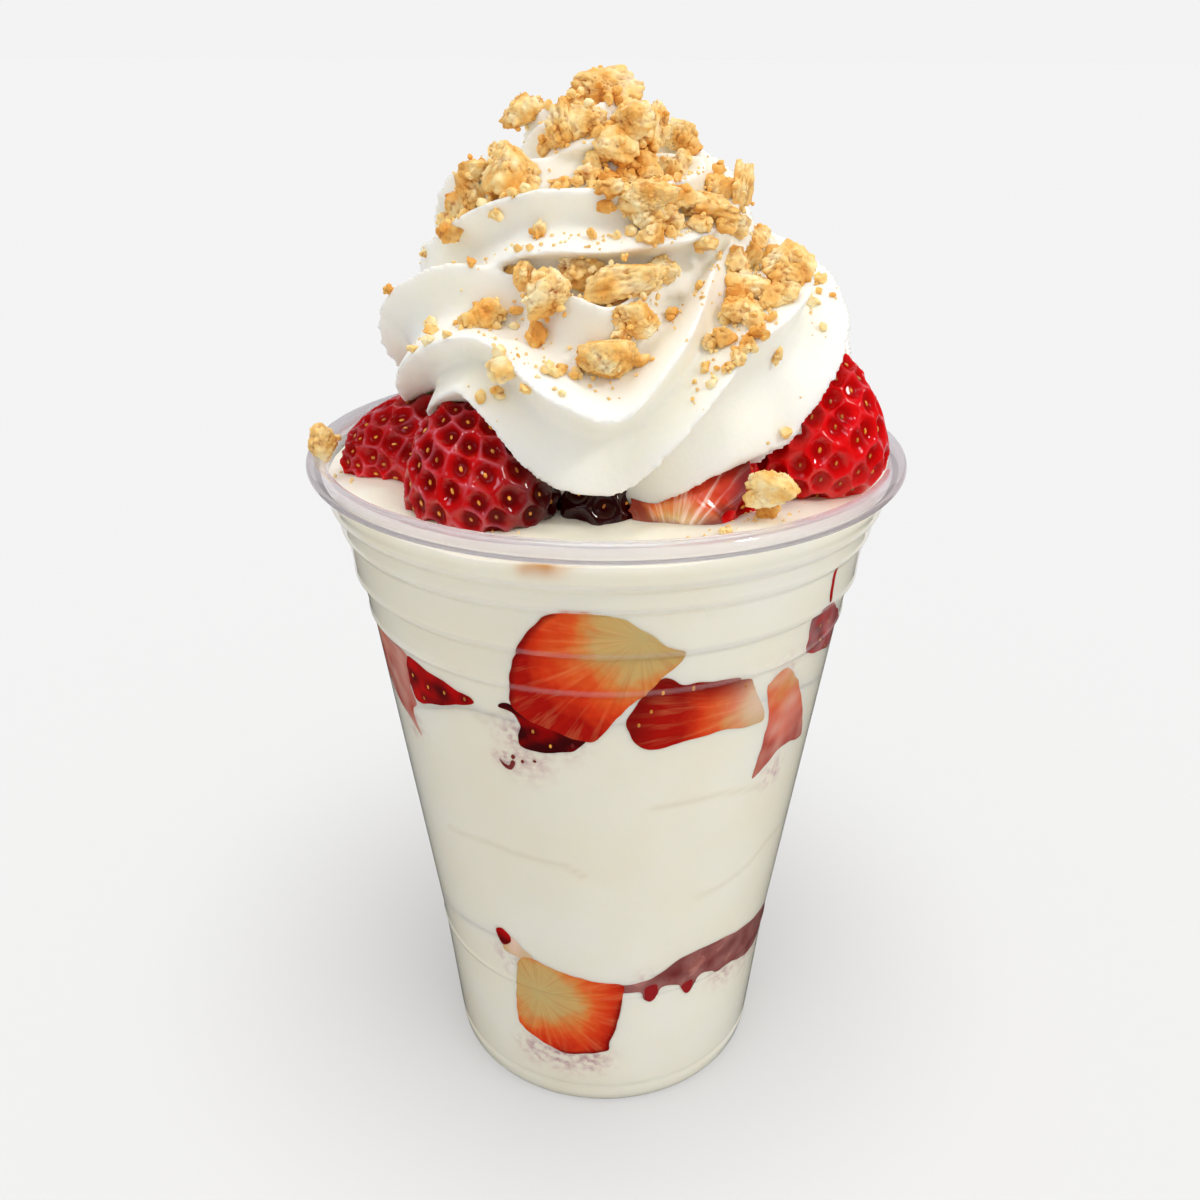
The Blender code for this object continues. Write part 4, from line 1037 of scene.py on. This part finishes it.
# Pits lie a little further apart along the berry.
LONG_PITS = 0.86
HEART_BELOW = 11
HEART_REACH_SHARE = 0.88
CUT_START = 0.0005
CUT_CELL = 0.0008
SMOOTH_BALL = 7
PLAIN_BALL = 6
GOLDEN_TURN = math.pi * (3 - math.sqrt(5))


def berry_surface(directions, length, width):
    """Points of the smooth berry, in mm, from directions on a ball."""
    along = directions[:, 2]
    girth = width / 2 * (1 - BERRY_TAPER * along - BERRY_ROUNDING * along ** 2)
    return np.column_stack([directions[:, 0] * girth, directions[:, 1] * girth, along * length / 2])


def pit_directions(count, rng):
    """Directions spread evenly over a ball, each nudged a little."""
    index = np.arange(count) + 0.5
    along = 1 - 2 * index / count
    turn = GOLDEN_TURN * index
    level = np.sqrt(1 - along ** 2)
    spots = np.column_stack([level * np.cos(turn), level * np.sin(turn), along])
    spots += np.array([[rng.gauss(0, 0.035) for _ in range(3)] for _ in range(count)])
    return spots / np.linalg.norm(spots, axis=1)[:, None]


def outward(points, length, width):
    """Normals of the smooth berry, taken from the ellipsoid that it is close to."""
    steep = points / np.array([width, width, length]) ** 2
    return steep / np.linalg.norm(steep, axis=1)[:, None]


# %% Balls to start from
balls = {}


def ball_bmesh(subdivisions):
    """A new bmesh that holds a ball of radius 1. Each fineness is made only once."""
    if subdivisions not in balls:
        bm = bmesh.new()
        bmesh.ops.create_icosphere(bm, subdivisions=subdivisions, radius=1.0)
        balls[subdivisions] = bpy.data.meshes.new("ball")
        bm.to_mesh(balls[subdivisions])
        bm.free()
    bm = bmesh.new()
    bm.from_mesh(balls[subdivisions])
    return bm


def add_to(whole, part):
    """Adds the shape of one bmesh to another."""
    mesh = bpy.data.meshes.new("part")
    part.to_mesh(mesh)
    part.free()
    whole.from_mesh(mesh)
    bpy.data.meshes.remove(mesh)


# %% Modelling a strawberry
seed_bm = bmesh.new()


def top_strawberry(name, middle, length, width, tip, cut):
    """A pitted strawberry in its place, with its seeds added to the shared seed mesh."""
    rng = random.Random(name)
    bm = ball_bmesh(PLAIN_BALL if "back" in name or "dark" in name else SMOOTH_BALL)
    seeds = bmesh.new()
    directions = np.array([vert.co for vert in bm.verts])
    smooth = berry_surface(directions, length, width)
    pit_count = round(math.pi * width * length * AREA_SHARE / (PIT_CELL_SHARE * PIT_SPACING ** 2))
    pits = berry_surface(pit_directions(pit_count, rng), length, width)
    squash = np.array([1.0, 1.0, LONG_PITS])
    squared = ((smooth * squash) ** 2).sum(1)[:, None] + ((pits * squash) ** 2).sum(1)
    apart = np.sqrt(np.maximum(0, squared - 2 * (smooth * squash) @ (pits * squash).T))
    nearest = np.partition(apart, 1, axis=1)
    pit = 1 - ease(nearest[:, 0], PIT_FLOOR, PIT_RADIUS)
    ridge = 1 - ease((nearest[:, 1] - nearest[:, 0]) / 2, 0.0, 0.5)
    shift = Vector([rng.uniform(0, 40) for _ in range(3)])
    lumps = np.array([noise.noise(Vector(point) * LUMP_SCALE + shift) for point in smooth])
    rise = LUMP_HEIGHT * lumps - PIT_DEPTH * pit + RIDGE_HEIGHT * ridge
    patchy = np.array([noise.noise(Vector(point) * PATCH_SCALE - shift) for point in smooth])
    painted_sheen = PAINTED_SHEEN_STRENGTH.get(name, 0.08) * ridge ** 2 * ease(patchy, -0.4, 0.3)
    normals = outward(smooth, length, width)
    shaped = smooth + normals * rise[:, None]
    turn = Vector(tip).normalized().to_track_quat("Z", "Y").to_matrix()
    placing = Matrix.Translation(Vector(middle) * MM) @ turn.to_4x4() @ Matrix.Scale(MM, 4)
    pit_layer = bm.verts.layers.float.new("pit")
    deep_red_and_shade_layer = bm.verts.layers.float.new("deep")
    painted_sheen_layer = bm.verts.layers.float.new("painted_sheen")
    heart_layer = bm.verts.layers.float_vector.new("from_heart")
    for vert, place, sunk, pale in zip(bm.verts, shaped, pit, painted_sheen):
        vert.co = placing @ Vector(place)
        vert[pit_layer] = sunk * PIT_SHADE_STRENGTH.get(name, 1.0)
        vert[painted_sheen_layer] = pale
        vert[deep_red_and_shade_layer] = DEEP_RED_AND_SHADE.get(name, 0.0)
        # Painted shade: the front-left berry darkens towards its right side, next to the swirl. The top-left
        # berry's darker red fades out below 117 mm.
        if name == "top_left":
            vert[deep_red_and_shade_layer] *= float(ease(vert.co.z / MM, 117.0, 121.0))
        if name == "top_front_left":
            vert[deep_red_and_shade_layer] += 0.64 * float(ease(vert.co.x / MM, -19.0, -7.0))
        vert[heart_layer] = (9.0, 9.0, 9.0)
    pit_lumps = [noise.noise(Vector(point) * LUMP_SCALE + shift) for point in pits]
    for place, normal, lump in zip(pits, outward(pits, length, width), pit_lumps):
        normal = Vector(normal)
        seat = Vector(place) + normal * (LUMP_HEIGHT * lump - SEED_SINK_SHARE * PIT_DEPTH)
        ahead = (Vector((0, 0, 1)) - normal * normal.z).normalized()
        frame_of_seed = Matrix((ahead.cross(normal), ahead, normal)).transposed().to_4x4()
        sized = Matrix.Diagonal((*[size * rng.uniform(0.8, 1.15) for size in SEED_SIZE], 1.0))
        matrix = placing @ Matrix.Translation(seat) @ frame_of_seed @ sized
        world_place = matrix.translation / MM
        if cut and (world_place - Vector(cut[0])).dot(Vector(cut[1]).normalized()) > -0.3:
            continue
        bmesh.ops.create_uvsphere(seeds, u_segments=6, v_segments=4, radius=1.0, matrix=matrix)
    add_to(seed_bm, seeds)
    if cut:
        cut_face(bm, Vector(cut[0]) * MM, Vector(cut[1]).normalized(), heart_layer, HEART_REACH_SHARE * width)
    finish_piece(name + "_berry", bm, [skin, open_flesh], stands_for=[name], sharp=50, into=berries)


# %% Cutting a strawberry open
def cut_face(bm, spot, normal, heart_layer, reach):
    """Slices a berry flat, closes it and marks how far each point of the cut is from its heart."""
    everything = bm.verts[:] + bm.edges[:] + bm.faces[:]
    found = bmesh.ops.bisect_plane(bm, geom=everything, plane_co=spot, plane_no=normal, clear_outer=True)
    rim = [item for item in found["geom_cut"] if isinstance(item, bmesh.types.BMEdge)]
    closed = bmesh.ops.contextual_create(bm, geom=rim)["faces"]
    line = [vert.co.copy() for vert in closed[0].verts]
    # The heart lies deeper than the middle, so that what shows is ripe.
    downhill = (Vector((0, 0, -1)) + normal * normal.z).normalized()
    heart = sum(line, Vector()) / len(line) + downhill * HEART_BELOW * MM
    side = normal.orthogonal().normalized()
    up = normal.cross(side)
    geom = closed + [part for face in closed for part in face.edges]
    geom += [part for face in closed for part in face.verts]
    for axis in (side, up):
        cuts = [vert.co.dot(axis) for face in closed for vert in face.verts]
        at = min(cuts) + CUT_START
        while at < max(cuts):
            geom = bmesh.ops.bisect_plane(bm, geom=geom, dist=1e-7, plane_co=axis * at, plane_no=axis)["geom"]
            at += CUT_CELL
    bm.normal_update()
    for face in bm.faces:
        if face.normal.dot(normal) < 0.999 or abs((face.calc_center_median() - spot).dot(normal)) > 1e-5:
            continue
        face.material_index = 1
        for vert in face.verts:
            away = (vert.co - heart) / (reach * MM)
            edge = min((vert.co - point).length for point in line) / (1.5 * MM)
            vert[heart_layer] = (away.dot(side), away.dot(up), edge)


# %% All strawberries on top
for name, values in TOP_BERRIES.items():
    top_strawberry(name, *values)
bmesh.ops.recalc_face_normals(seed_bm, faces=seed_bm.faces)
finish_piece("strawberry_seeds", seed_bm, [seed_skin], into=berries)

# %% [markdown]
# ## The piped swirl
# Whipped cream is piped through a star nozzle, so the swirl is a thick fluted rope laid in
# a rising spiral. The rope's cross-section is a ring of flutes between sharp ridges, and
# the section turns as the hand turns. A flat grid is the start: one side runs along the
# spiral, the other round the rope. Where the turns of the rope touch they melt into one
# skin, which a voxel Remesh does.

# %% Stations of the rope
# Degrees round the axis, path radius, height, rope radius, and turn of the ridges.
SWIRL_STATIONS = np.array((
    (-300, 17.0, 131.0, 10.0, -150), (-270, 18.5, 133.0, 12.0, -125), (-225, 20.0, 136.5, 14.5, -85),
    (-180, 21.0, 138.0, 15.5, -48), (-160, 21.0, 138.0, 15.5, -28), (-140, 21.0, 137.6, 15.5, 8),
    (-122, 20.5, 134.5, 16.0, 30), (-100, 20.5, 133.0, 17.3, 8), (-87, 20.5, 132.5, 17.6, 3),
    (-75, 20.5, 133.0, 17.3, 27), (-57, 21.0, 134.0, 17.0, 70), (-30, 22.5, 137.0, 17.0, 95),
    (0, 23.2, 137.0, 15.6, 130), (60, 20.0, 142.0, 15.0, 200), (120, 17.5, 147.5, 13.5, 275),
    (180, 15.0, 152.0, 13.3, 345), (207, 13.8, 152.5, 12.8, 372), (240, 13.0, 152.5, 12.3, 402),
    (275, 12.2, 152.5, 12.0, 408), (315, 12.0, 153.3, 11.8, 415), (360, 12.0, 154.3, 10.6, 455),
    (420, 9.0, 158.5, 11.0, 530), (480, 7.0, 161.5, 9.5, 600), (540, 5.5, 163.5, 8.5, 665),
    (590, 5.0, 164.5, 8.0, 718), (630, 4.5, 165.0, 7.5, 740), (700, 2.5, 167.5, 6.0, 830),
    (760, 1.0, 170.5, 3.0, 910),
))
RIDGE_ANGLES = (-80, -43, 0, 55, 100, 145, 190, 235)
# How far a ridge wanders at a place on the spiral, in degrees round the rope.
RIDGE_WANDER = {
    0: ((-240, 0), (-200, -15), (-180, 0), (-100, 0), (-85, 0), (-60, -15), (-45, -38), (-28, -15), (0, 0)),
    1: ((-240, 0), (-200, -22), (-180, -8), (-150, 0), (-126, 16), (-105, -11), (-88, 1), (-70, 4), (-45, -8),
        (-30, -8), (0, 0)),
    2: ((-240, 0), (-200, -35), (-190, -25), (-180, -15), (-170, -6), (-150, -2), (-140, -4), (-128, 0),
        (130, 0), (155, -25), (175, -5), (190, 0)),
    3: ((-240, 0), (-200, -62), (-190, -45), (-180, -22), (-170, -2), (-160, 8), (-145, 2), (-125, -10),
        (-100, 0), (120, 0), (145, -50), (160, -34), (172, -8), (190, 6), (210, 0)),
    4: ((-240, 0), (-200, 10), (-180, 8), (-160, 0)),
}
STRAIGHT = ((0, 0), (1, 0))
FLUTE_DEPTH = 0.34
FLUTE_LEAN = 1.25
FLUTE_FULLNESS = 0.8
SWIRL_FOOT_LEVEL = 117.1
SWIRL_CELL = 0.00054


def smooth_table(rows, at):
    """Values of each column between its rows, without corners at the rows."""
    places = rows[:, 0]
    index = np.clip(np.searchsorted(places, at) - 1, 0, len(rows) - 2)
    slopes = np.gradient(rows[:, 1:], places, axis=0)
    width = (places[index + 1] - places[index])[:, None]
    share = ((at - places[index])[:, None]) / width
    start, end = rows[index, 1:], rows[index + 1, 1:]
    cubic = share ** 3
    square = share ** 2
    return (start * (2 * cubic - 3 * square + 1) + slopes[index] * width * (cubic - 2 * square + share)
            + end * (3 * square - 2 * cubic) + slopes[index + 1] * width * (cubic - square))


def waver(degrees, ridge):
    """How unevenly a ridge was piped at a place on the spiral: slow waves and smaller ones."""
    slow = noise.noise(Vector((degrees * 0.09, ridge * 3.7, 1.5)))
    return slow + 0.6 * noise.noise(Vector((degrees * 0.35, ridge * 5.1, 9.5)))


# %% Bending the grid into a rope
ALONG = 530
ROUND = 112
bm = bmesh.new()
bmesh.ops.create_grid(bm, x_segments=ALONG, y_segments=ROUND, size=1.0)
first, last = SWIRL_STATIONS[0, 0], SWIRL_STATIONS[-1, 0]
grid = np.array([vert.co for vert in bm.verts])
degrees = first + (grid[:, 0] + 1) / 2 * (last - first)
path_radius, height, rope_radius, lead = smooth_table(SWIRL_STATIONS, degrees).T
flute = (grid[:, 1] + 1) / 2 * 8 - 1e-9
start_ridge = np.floor(np.maximum(flute, 0)).astype(int)
share = flute - start_ridge
bends = [np.array(RIDGE_WANDER.get(index, STRAIGHT), float).T for index in range(len(RIDGE_ANGLES))]
ridges = np.stack([angle + np.interp(degrees, *bend, left=0, right=0)
                   for angle, bend in zip(RIDGE_ANGLES, bends)])
ridges = np.vstack([ridges, ridges[:1] + 360])
rows = np.arange(len(degrees))
start_angle, end_angle = ridges[start_ridge, rows], ridges[start_ridge + 1, rows]
dip = FLUTE_DEPTH * np.sin(np.pi * np.clip(share, 0, 1) ** FLUTE_LEAN) ** FLUTE_FULLNESS
section_angle = np.radians(lead + start_angle + (end_angle - start_angle) * share)
edge_noise = np.array([waver(*place) for place in zip(degrees, start_ridge + np.round(share))])
on_ridge = 1 - ease(np.minimum(share, 1 - share), 0.0, 0.12)
reach = rope_radius * (1 - dip) + 0.35 * edge_noise * on_ridge
distance = path_radius + reach * np.cos(section_angle)
rope = np.column_stack([distance * np.cos(np.radians(degrees)), distance * np.sin(np.radians(degrees)),
                        height + reach * np.sin(section_angle)]) * MM
for vert, place in zip(bm.verts, rope):
    vert.co = place
bmesh.ops.remove_doubles(bm, verts=bm.verts, dist=0.000005)
bmesh.ops.holes_fill(bm, edges=bm.edges, sides=0)
bmesh.ops.recalc_face_normals(bm, faces=bm.faces)
CORE_WAIST = 147.0
CORE_TOP = 162.0
CORE = ((SWIRL_FOOT_LEVEL, CORE_WAIST, 21, 21.5), (CORE_WAIST - 1, CORE_TOP, 21.5, 7))
for low, high, wide, narrow in CORE:
    bmesh.ops.create_cone(bm, cap_ends=True, segments=48, radius1=wide * MM, radius2=narrow * MM,
                          depth=(high - low) * MM, matrix=Matrix.Translation((0, 0, (low + high) / 2 * MM)))

# %% One skin
rope_mesh = bpy.data.meshes.new("rope")
bm.to_mesh(rope_mesh)
bm.free()
rope_object = bpy.data.objects.new("rope", rope_mesh)
bpy.context.scene.collection.objects.link(rope_object)
remesh = rope_object.modifiers.new("one skin", "REMESH")
remesh.mode = "VOXEL"
remesh.voxel_size = SWIRL_CELL
calm = rope_object.modifiers.new("calm", "SMOOTH")
calm.factor = 0.5
calm.iterations = 2
graph = bpy.context.evaluated_depsgraph_get()
graph.update()
skin_mesh = bpy.data.meshes.new_from_object(rope_object.evaluated_get(graph))
bpy.data.objects.remove(rope_object)
bm = bmesh.new()
bm.from_mesh(skin_mesh)
for vert in bm.verts:
    vert.co.z = max(vert.co.z, SWIRL_FOOT_LEVEL * MM)
swirl_surface = BVHTree.FromBMesh(bm)
finish_piece("whipped_swirl", bm, [whipped_cream], stands_for=["swirl"], sharp=180)

# %% [markdown]
# ## Biscuit crumbs
# The crumbs are broken pieces of butter biscuit: clumps of sandy grains, golden outside
# and paler where they broke. Each clump is a ball pushed in and out by noise at the size
# of the grains. Large clumps are placed where the photograph shows them, each on the ray
# from the camera, and the small ones fall from above on the cream, as they did in the
# kitchen, so that every side gets its share.

# %% Material of the crumbs
biscuit, tree, shader, here = new_finish("butter biscuit crumb", Roughness=0.62, IOR=1.45,
                                         Subsurface_Weight=0.1, Subsurface_Scale=0.0008,
                                         Subsurface_Radius=(1.0, 0.55, 0.2))
bake = add_node(tree, "TexNoise", {"Scale": 260.0, "Detail": 4.0}, here)
tones = add_node(tree, "ValToRGB", links={0: bake},
                 stops=[(0.34, "E8A243"), (0.68, "FFEDBC"), (0.44, "F3BC62"), (0.56, "FCD990")])
specks = add_node(tree, "TexNoise", {"Scale": 1500.0, "Detail": 1.0}, here)
speck_share = add_node(tree, "MapRange", {"From Min": 0.71, "From Max": 0.77, "To Max": 0.6},
                       {"Value": specks})
# Painted shade: the recesses of each clump get a darker orange-brown.
paint(tree, shader, tones, ("crevice_shade", "B05E0E"), (speck_share, "7A4A1E"))
grains = add_node(tree, "TexNoise", {"Scale": 1300.0, "Detail": 3.0, "Roughness": 0.6}, here)
emboss(tree, shader, (grains, 0.8, 0.00022))

# The finest crumbs come from the pale inside of the biscuit.
sand = biscuit.copy()
sand.name = "fine biscuit crumb"
sand.node_tree.nodes["Principled BSDF"].inputs["Subsurface Weight"].default_value = 0.0
for node in sand.node_tree.nodes:
    if node.type == "VALTORGB":
        node.color_ramp.elements[0].color = linear("F3C678")
        node.color_ramp.elements[1].color = linear("F6CE86")

# %% Shaping a crumb
GRANULE = 0.8
FLAT_COUNT = 8
FLATNESS = 0.9
CLUMP_RADIUS = 1.08
CLUMP_LUMPS = 0.32
LUMP_RELIEF = 0.8
GRAIN_RELIEF = 0.32
SMALL_CRUMB_RELIEF = 0.16


def any_way(rng):
    """A random direction."""
    return Vector([rng.gauss(0, 1) for _ in range(3)]).normalized()


def add_crumb(whole, middle, half_sizes, axes, rng, fineness):
    """Adds one clump to a bmesh: broken flats, and granules that stand out on its rough parts."""
    bm = ball_bmesh(fineness)
    crevice_shade_layer = bm.verts.layers.float.new("crevice_shade")
    shift = Vector([rng.uniform(0, 90) for _ in range(3)])
    flats = [(any_way(rng), rng.uniform(0.5, 0.88)) for _ in range(FLAT_COUNT)]
    half = Vector(half_sizes)
    mean = sum(half) / 3
    for vert in bm.verts:
        way = vert.co.normalized()
        radius = CLUMP_RADIUS + CLUMP_LUMPS * noise.fractal(way * 1.3 + shift, 0.8, 2.1, 3)
        for normal, limit in flats:
            facing = way.dot(normal)
            if radius * facing > limit:
                radius -= FLATNESS * (radius - limit / facing)
        sunk = 0.0
        if fineness > 2:
            spot = way * (radius * mean)
            rough = min(1.0, max(0.2, 0.65 + 1.2 * noise.noise(spot * 0.35 - shift)))
            lumps = noise.turbulence(spot * GRANULE + shift, 4, True, amplitude_scale=0.65,
                                     frequency_scale=2.1)
            grain = 1 - min(1.0, noise.voronoi(spot * 1.15 + shift)[0][0] / 0.8) ** 2
            radius += (LUMP_RELIEF * (lumps - 0.5) + GRAIN_RELIEF * (grain - 0.6)) / mean * rough
            # Painted shade: hollows between lumps and granules, and sunken parts, are marked darker.
            sunk = (max(0.0, 0.45 - lumps) * 2.2 + max(0.0, 0.5 - grain) * 1.1) * rough
        else:
            radius += SMALL_CRUMB_RELIEF * noise.noise(way * 2.7 - shift)
        vert[crevice_shade_layer] = min(1.0, sunk + max(0.0, 0.8 - radius) * 0.4)
        vert.co = Vector(middle) + axes @ Vector([a * b * MM for a, b in zip(way * radius, half)])
    add_to(whole, bm)


def any_axes(rng):
    """A random turn."""
    return Euler([rng.uniform(0, 6.3) for _ in range(3)]).to_matrix()


def any_half_sizes(size, rng):
    """Half sizes of a clump that is a little longer one way."""
    return [size / 2 * rng.uniform(0.7, 1.15) for _ in range(3)]


def ray_through(x_px, y_px):
    """Direction from the camera through a place in the 1200-pixel picture."""
    return (camera_turn @ Vector((x_px - CENTRE_X_PX, FRAME_PX / 2 - y_px, -FOCAL_PX))).normalized()


# %% Large crumbs at the front
# Middle, width and height in the picture in pixels, and for some the lean in degrees.
FRONT_CRUMBS = (
    (604, 94, 60, 44, -8), (590, 121, 36, 30), (567, 127, 30, 38, 20), (523, 112, 36, 34, -30),
    (627, 120, 34, 32), (620, 152, 42, 36, 10), (653, 134, 30, 40), (676, 140, 25, 38, -12),
    (645, 195, 50, 27), (648, 222, 38, 34), (517, 174, 52, 48), (480, 169, 30, 20, 10),
    (477, 199, 27, 40, 25), (449, 230, 19, 18), (496, 213, 14, 13), (541, 232, 13, 20), (550, 148, 16, 20),
    (496, 151, 10, 14), (592, 166, 15, 22), (578, 183, 14, 10), (608, 178, 20, 11), (628, 181, 18, 13),
    (645, 173, 22, 15), (667, 172, 24, 18), (684, 170, 22, 28), (703, 216, 54, 34, -6), (707, 189, 36, 26),
    (740, 197, 18, 48, -10), (755, 243, 40, 26, -20), (703, 239, 22, 15), (581, 262, 38, 34),
    (512, 266, 13, 15), (529, 279, 18, 28), (554, 297, 52, 44, 15), (538, 336, 20, 32, 12),
    (640, 289, 80, 38, 14), (664, 274, 34, 24), (660, 260, 18, 12), (628, 320, 40, 28), (611, 361, 60, 44),
    (618, 333, 16, 14), (507, 366, 28, 26), (499, 393, 14, 12), (527, 386, 12, 10), (549, 372, 14, 12),
    (561, 372, 12, 12), (487, 320, 36, 32), (470, 326, 20, 20), (750, 268, 36, 36), (792, 277, 40, 44),
    (735, 282, 26, 24), (760, 298, 38, 26), (744, 316, 34, 28), (725, 341, 26, 19), (750, 348, 12, 14),
    (776, 354, 9, 16), (728, 369, 12, 11), (760, 336, 22, 14), (810, 304, 12, 10), (820, 281, 12, 12),
    (426, 254, 9, 9), (388, 290, 8, 9), (434, 332, 15, 13), (330, 443, 27, 31), (773, 493, 46, 36, 20),
    (768, 516, 24, 22), (727, 533, 11, 12), (722, 500, 12, 9), (692, 150, 16, 20), (680, 194, 20, 22),
    (722, 226, 20, 16), (774, 262, 26, 20), (732, 262, 24, 24), (718, 172, 12, 12), (633, 205, 30, 24),
    (662, 215, 26, 22, 10), (690, 205, 30, 24), (655, 240, 24, 20), (640, 165, 26, 20, -10),
    (610, 190, 26, 18), (590, 174, 24, 16), (735, 232, 26, 20), (745, 255, 24, 22), (775, 302, 30, 24, 15),
    (790, 298, 24, 22), (730, 300, 22, 20), (755, 325, 24, 20), (714, 345, 18, 16), (738, 360, 16, 14),
    (560, 186, 20, 13), (604, 205, 20, 12), (462, 205, 22, 24), (500, 192, 22, 18), (452, 218, 20, 14),
    (575, 105, 20, 20), (612, 138, 26, 24), (640, 138, 24, 26), (562, 140, 16, 14), (672, 228, 22, 18),
    (700, 228, 24, 18), (648, 180, 30, 18), (668, 195, 24, 16), (625, 165, 22, 16), (600, 150, 20, 18),
)

# %% Setting the large crumbs on the cream
FINE_FROM_MM = 4.6
CLUMP_GROWTH = 1.12
CLUMP_DEPTH_SHARE = 0.42
CLUMP_SEAT = 0.45
LOOK_FROM = 0.15
LOOK_STEP = 0.0015
LOOKS = 110
cream_surface = BVHTree.FromObject(cream_top, bpy.context.evaluated_depsgraph_get())
surfaces = (swirl_surface, cream_surface)


def landing(x_px, y_px):
    """Where a ray from the camera meets the cream, or comes nearest to it."""
    way = ray_through(x_px, y_px)
    hits = [surface.ray_cast(CAMERA_PLACE, way) for surface in surfaces]
    hits = [hit for hit in hits if hit[0] is not None]
    if hits:
        return min(hits, key=lambda hit: hit[3])[:2]
    steps = [CAMERA_PLACE + way * (LOOK_FROM + LOOK_STEP * index) for index in range(LOOKS)]
    nearest = min(steps, key=lambda step: min(surface.find_nearest(step)[3] for surface in surfaces))
    return nearest, Vector((0, 0, 0))


# Two crumbs that lie on the rim and against a strawberry, where no ray to the cream finds them.
SET_DOWN = {(330, 443): Vector((-0.0447, -0.0100, 0.1222)), (773, 493): Vector((0.0234, -0.0345, 0.1218))}
CRUMB_DRAWS = 11
MIDDLE_PX = 620
LARGE_BALL = 5
MEDIUM_BALL = 3
SMALL_BALL = 2
FINE_BALL = 1
rng = random.Random(CRUMB_DRAWS)
crumb_meshes = [bmesh.new(), bmesh.new()]
small_bm = bmesh.new()
centres = []
for x_px, y_px, width_px, height_px, *lean in FRONT_CRUMBS:
    spot, normal = landing(x_px, y_px)
    spot = SET_DOWN.get((x_px, y_px), spot)
    mm_per_px = (spot - CAMERA_PLACE).length / FOCAL_PX / MM
    wide, tall = CLUMP_GROWTH * width_px * mm_per_px / 2, CLUMP_GROWTH * height_px * mm_per_px / 2
    half_sizes = (wide, tall, CLUMP_DEPTH_SHARE * (wide + tall))
    middle = spot + normal * CLUMP_SEAT * min(half_sizes) * MM
    centres.append((middle, sum(half_sizes) / 3))
    axes = camera_turn @ Matrix.Rotation(math.radians(sum(lean)), 3, "Z")
    large = wide + tall > FINE_FROM_MM
    whole = crumb_meshes[x_px > MIDDLE_PX] if large else small_bm
    add_crumb(whole, middle, half_sizes, axes, rng, LARGE_BALL if large else MEDIUM_BALL)


def finish_crumbs(name, bm, finish, sharp):
    """Turns the normals of all crumbs in a mesh outwards and makes the piece."""
    bmesh.ops.recalc_face_normals(bm, faces=bm.faces)
    finish_piece(name, bm, [finish], sharp=sharp)


for name, bm in zip(("large_crumbs_left", "large_crumbs_right"), crumb_meshes):
    finish_crumbs(name, bm, biscuit, 180)

# %% Crumbs that fell on the back
fallen = bmesh.new()
FALLEN_TRIES = 44
DROP_FROM = 0.25


def drop(x, y):
    """What a crumb lands on when it falls at a place, and its normal."""
    hits = [surface.ray_cast(Vector((x, y, DROP_FROM)), Vector((0, 0, -1)))[:2] for surface in surfaces]
    hits = [hit for hit in hits if hit[0] is not None]
    return max(hits, key=lambda hit: hit[0].z) if hits else (None, None)


def behind_swirl(spot):
    """Whether the swirl hides a spot from the photograph's camera."""
    way = spot - CAMERA_PLACE
    return swirl_surface.ray_cast(CAMERA_PLACE, way.normalized(), way.length)[0] is not None


for _ in range(FALLEN_TRIES):
    spot = polar(rng.uniform(3, 30), rng.uniform(8, 172), 0)
    landed, normal = drop(spot.x, spot.y)
    half_sizes = any_half_sizes(rng.uniform(4.0, 8.6), rng)
    middle = landed + normal * CLUMP_SEAT * min(half_sizes) * MM
    if not behind_swirl(middle + Vector((0, 0, max(half_sizes) * MM))):
        continue
    centres.append((middle, sum(half_sizes) / 3))
    add_crumb(fallen, middle, half_sizes, any_axes(rng), rng, LARGE_BALL)
finish_crumbs("fallen_crumbs", fallen, biscuit, 180)

# %% Grains on the clumps, and small crumbs round them
GRAINS_PER_MM = 4
LOWEST_CRUMB = 0.120
SMALL_SEAT = 0.4


def scatter(bm, count, spread, sizes, lowest, fineness):
    """Lets crumbs fall round the clumps, on cream above a lowest height."""
    for _ in range(count):
        near = rng.choice(centres)[0]
        landed, normal = drop(near.x + rng.gauss(0, spread), near.y + rng.gauss(0, spread))
        if landed is None or landed.z < lowest:
            continue
        half_sizes = any_half_sizes(rng.uniform(*sizes), rng)
        middle = landed + normal * SMALL_SEAT * min(half_sizes) * MM
        add_crumb(bm, middle, half_sizes, any_axes(rng), rng, fineness)


for middle, size in centres:
    for _ in range(int(size * GRAINS_PER_MM)):
        spot = middle + any_way(rng) * size * MM * rng.uniform(0.7, 1.0)
        add_crumb(small_bm, spot, any_half_sizes(rng.uniform(0.5, 1.5), rng), any_axes(rng), rng, SMALL_BALL)
scatter(small_bm, count=330, spread=0.0026, sizes=(0.7, 2.3), lowest=LOWEST_CRUMB, fineness=SMALL_BALL)
finish_crumbs("small_crumbs", small_bm, biscuit, 35)

# %% Fine crumbs
fine_bm = bmesh.new()
scatter(fine_bm, count=900, spread=0.0034, sizes=(0.25, 0.8), lowest=0.0, fineness=FINE_BALL)
finish_crumbs("fine_crumbs", fine_bm, sand, 35)

# %% Counting pieces and triangles
print("pieces:", len(made), "triangles:",
      sum(len(piece.data.loop_triangles) or len(piece.data.polygons) for piece in made))
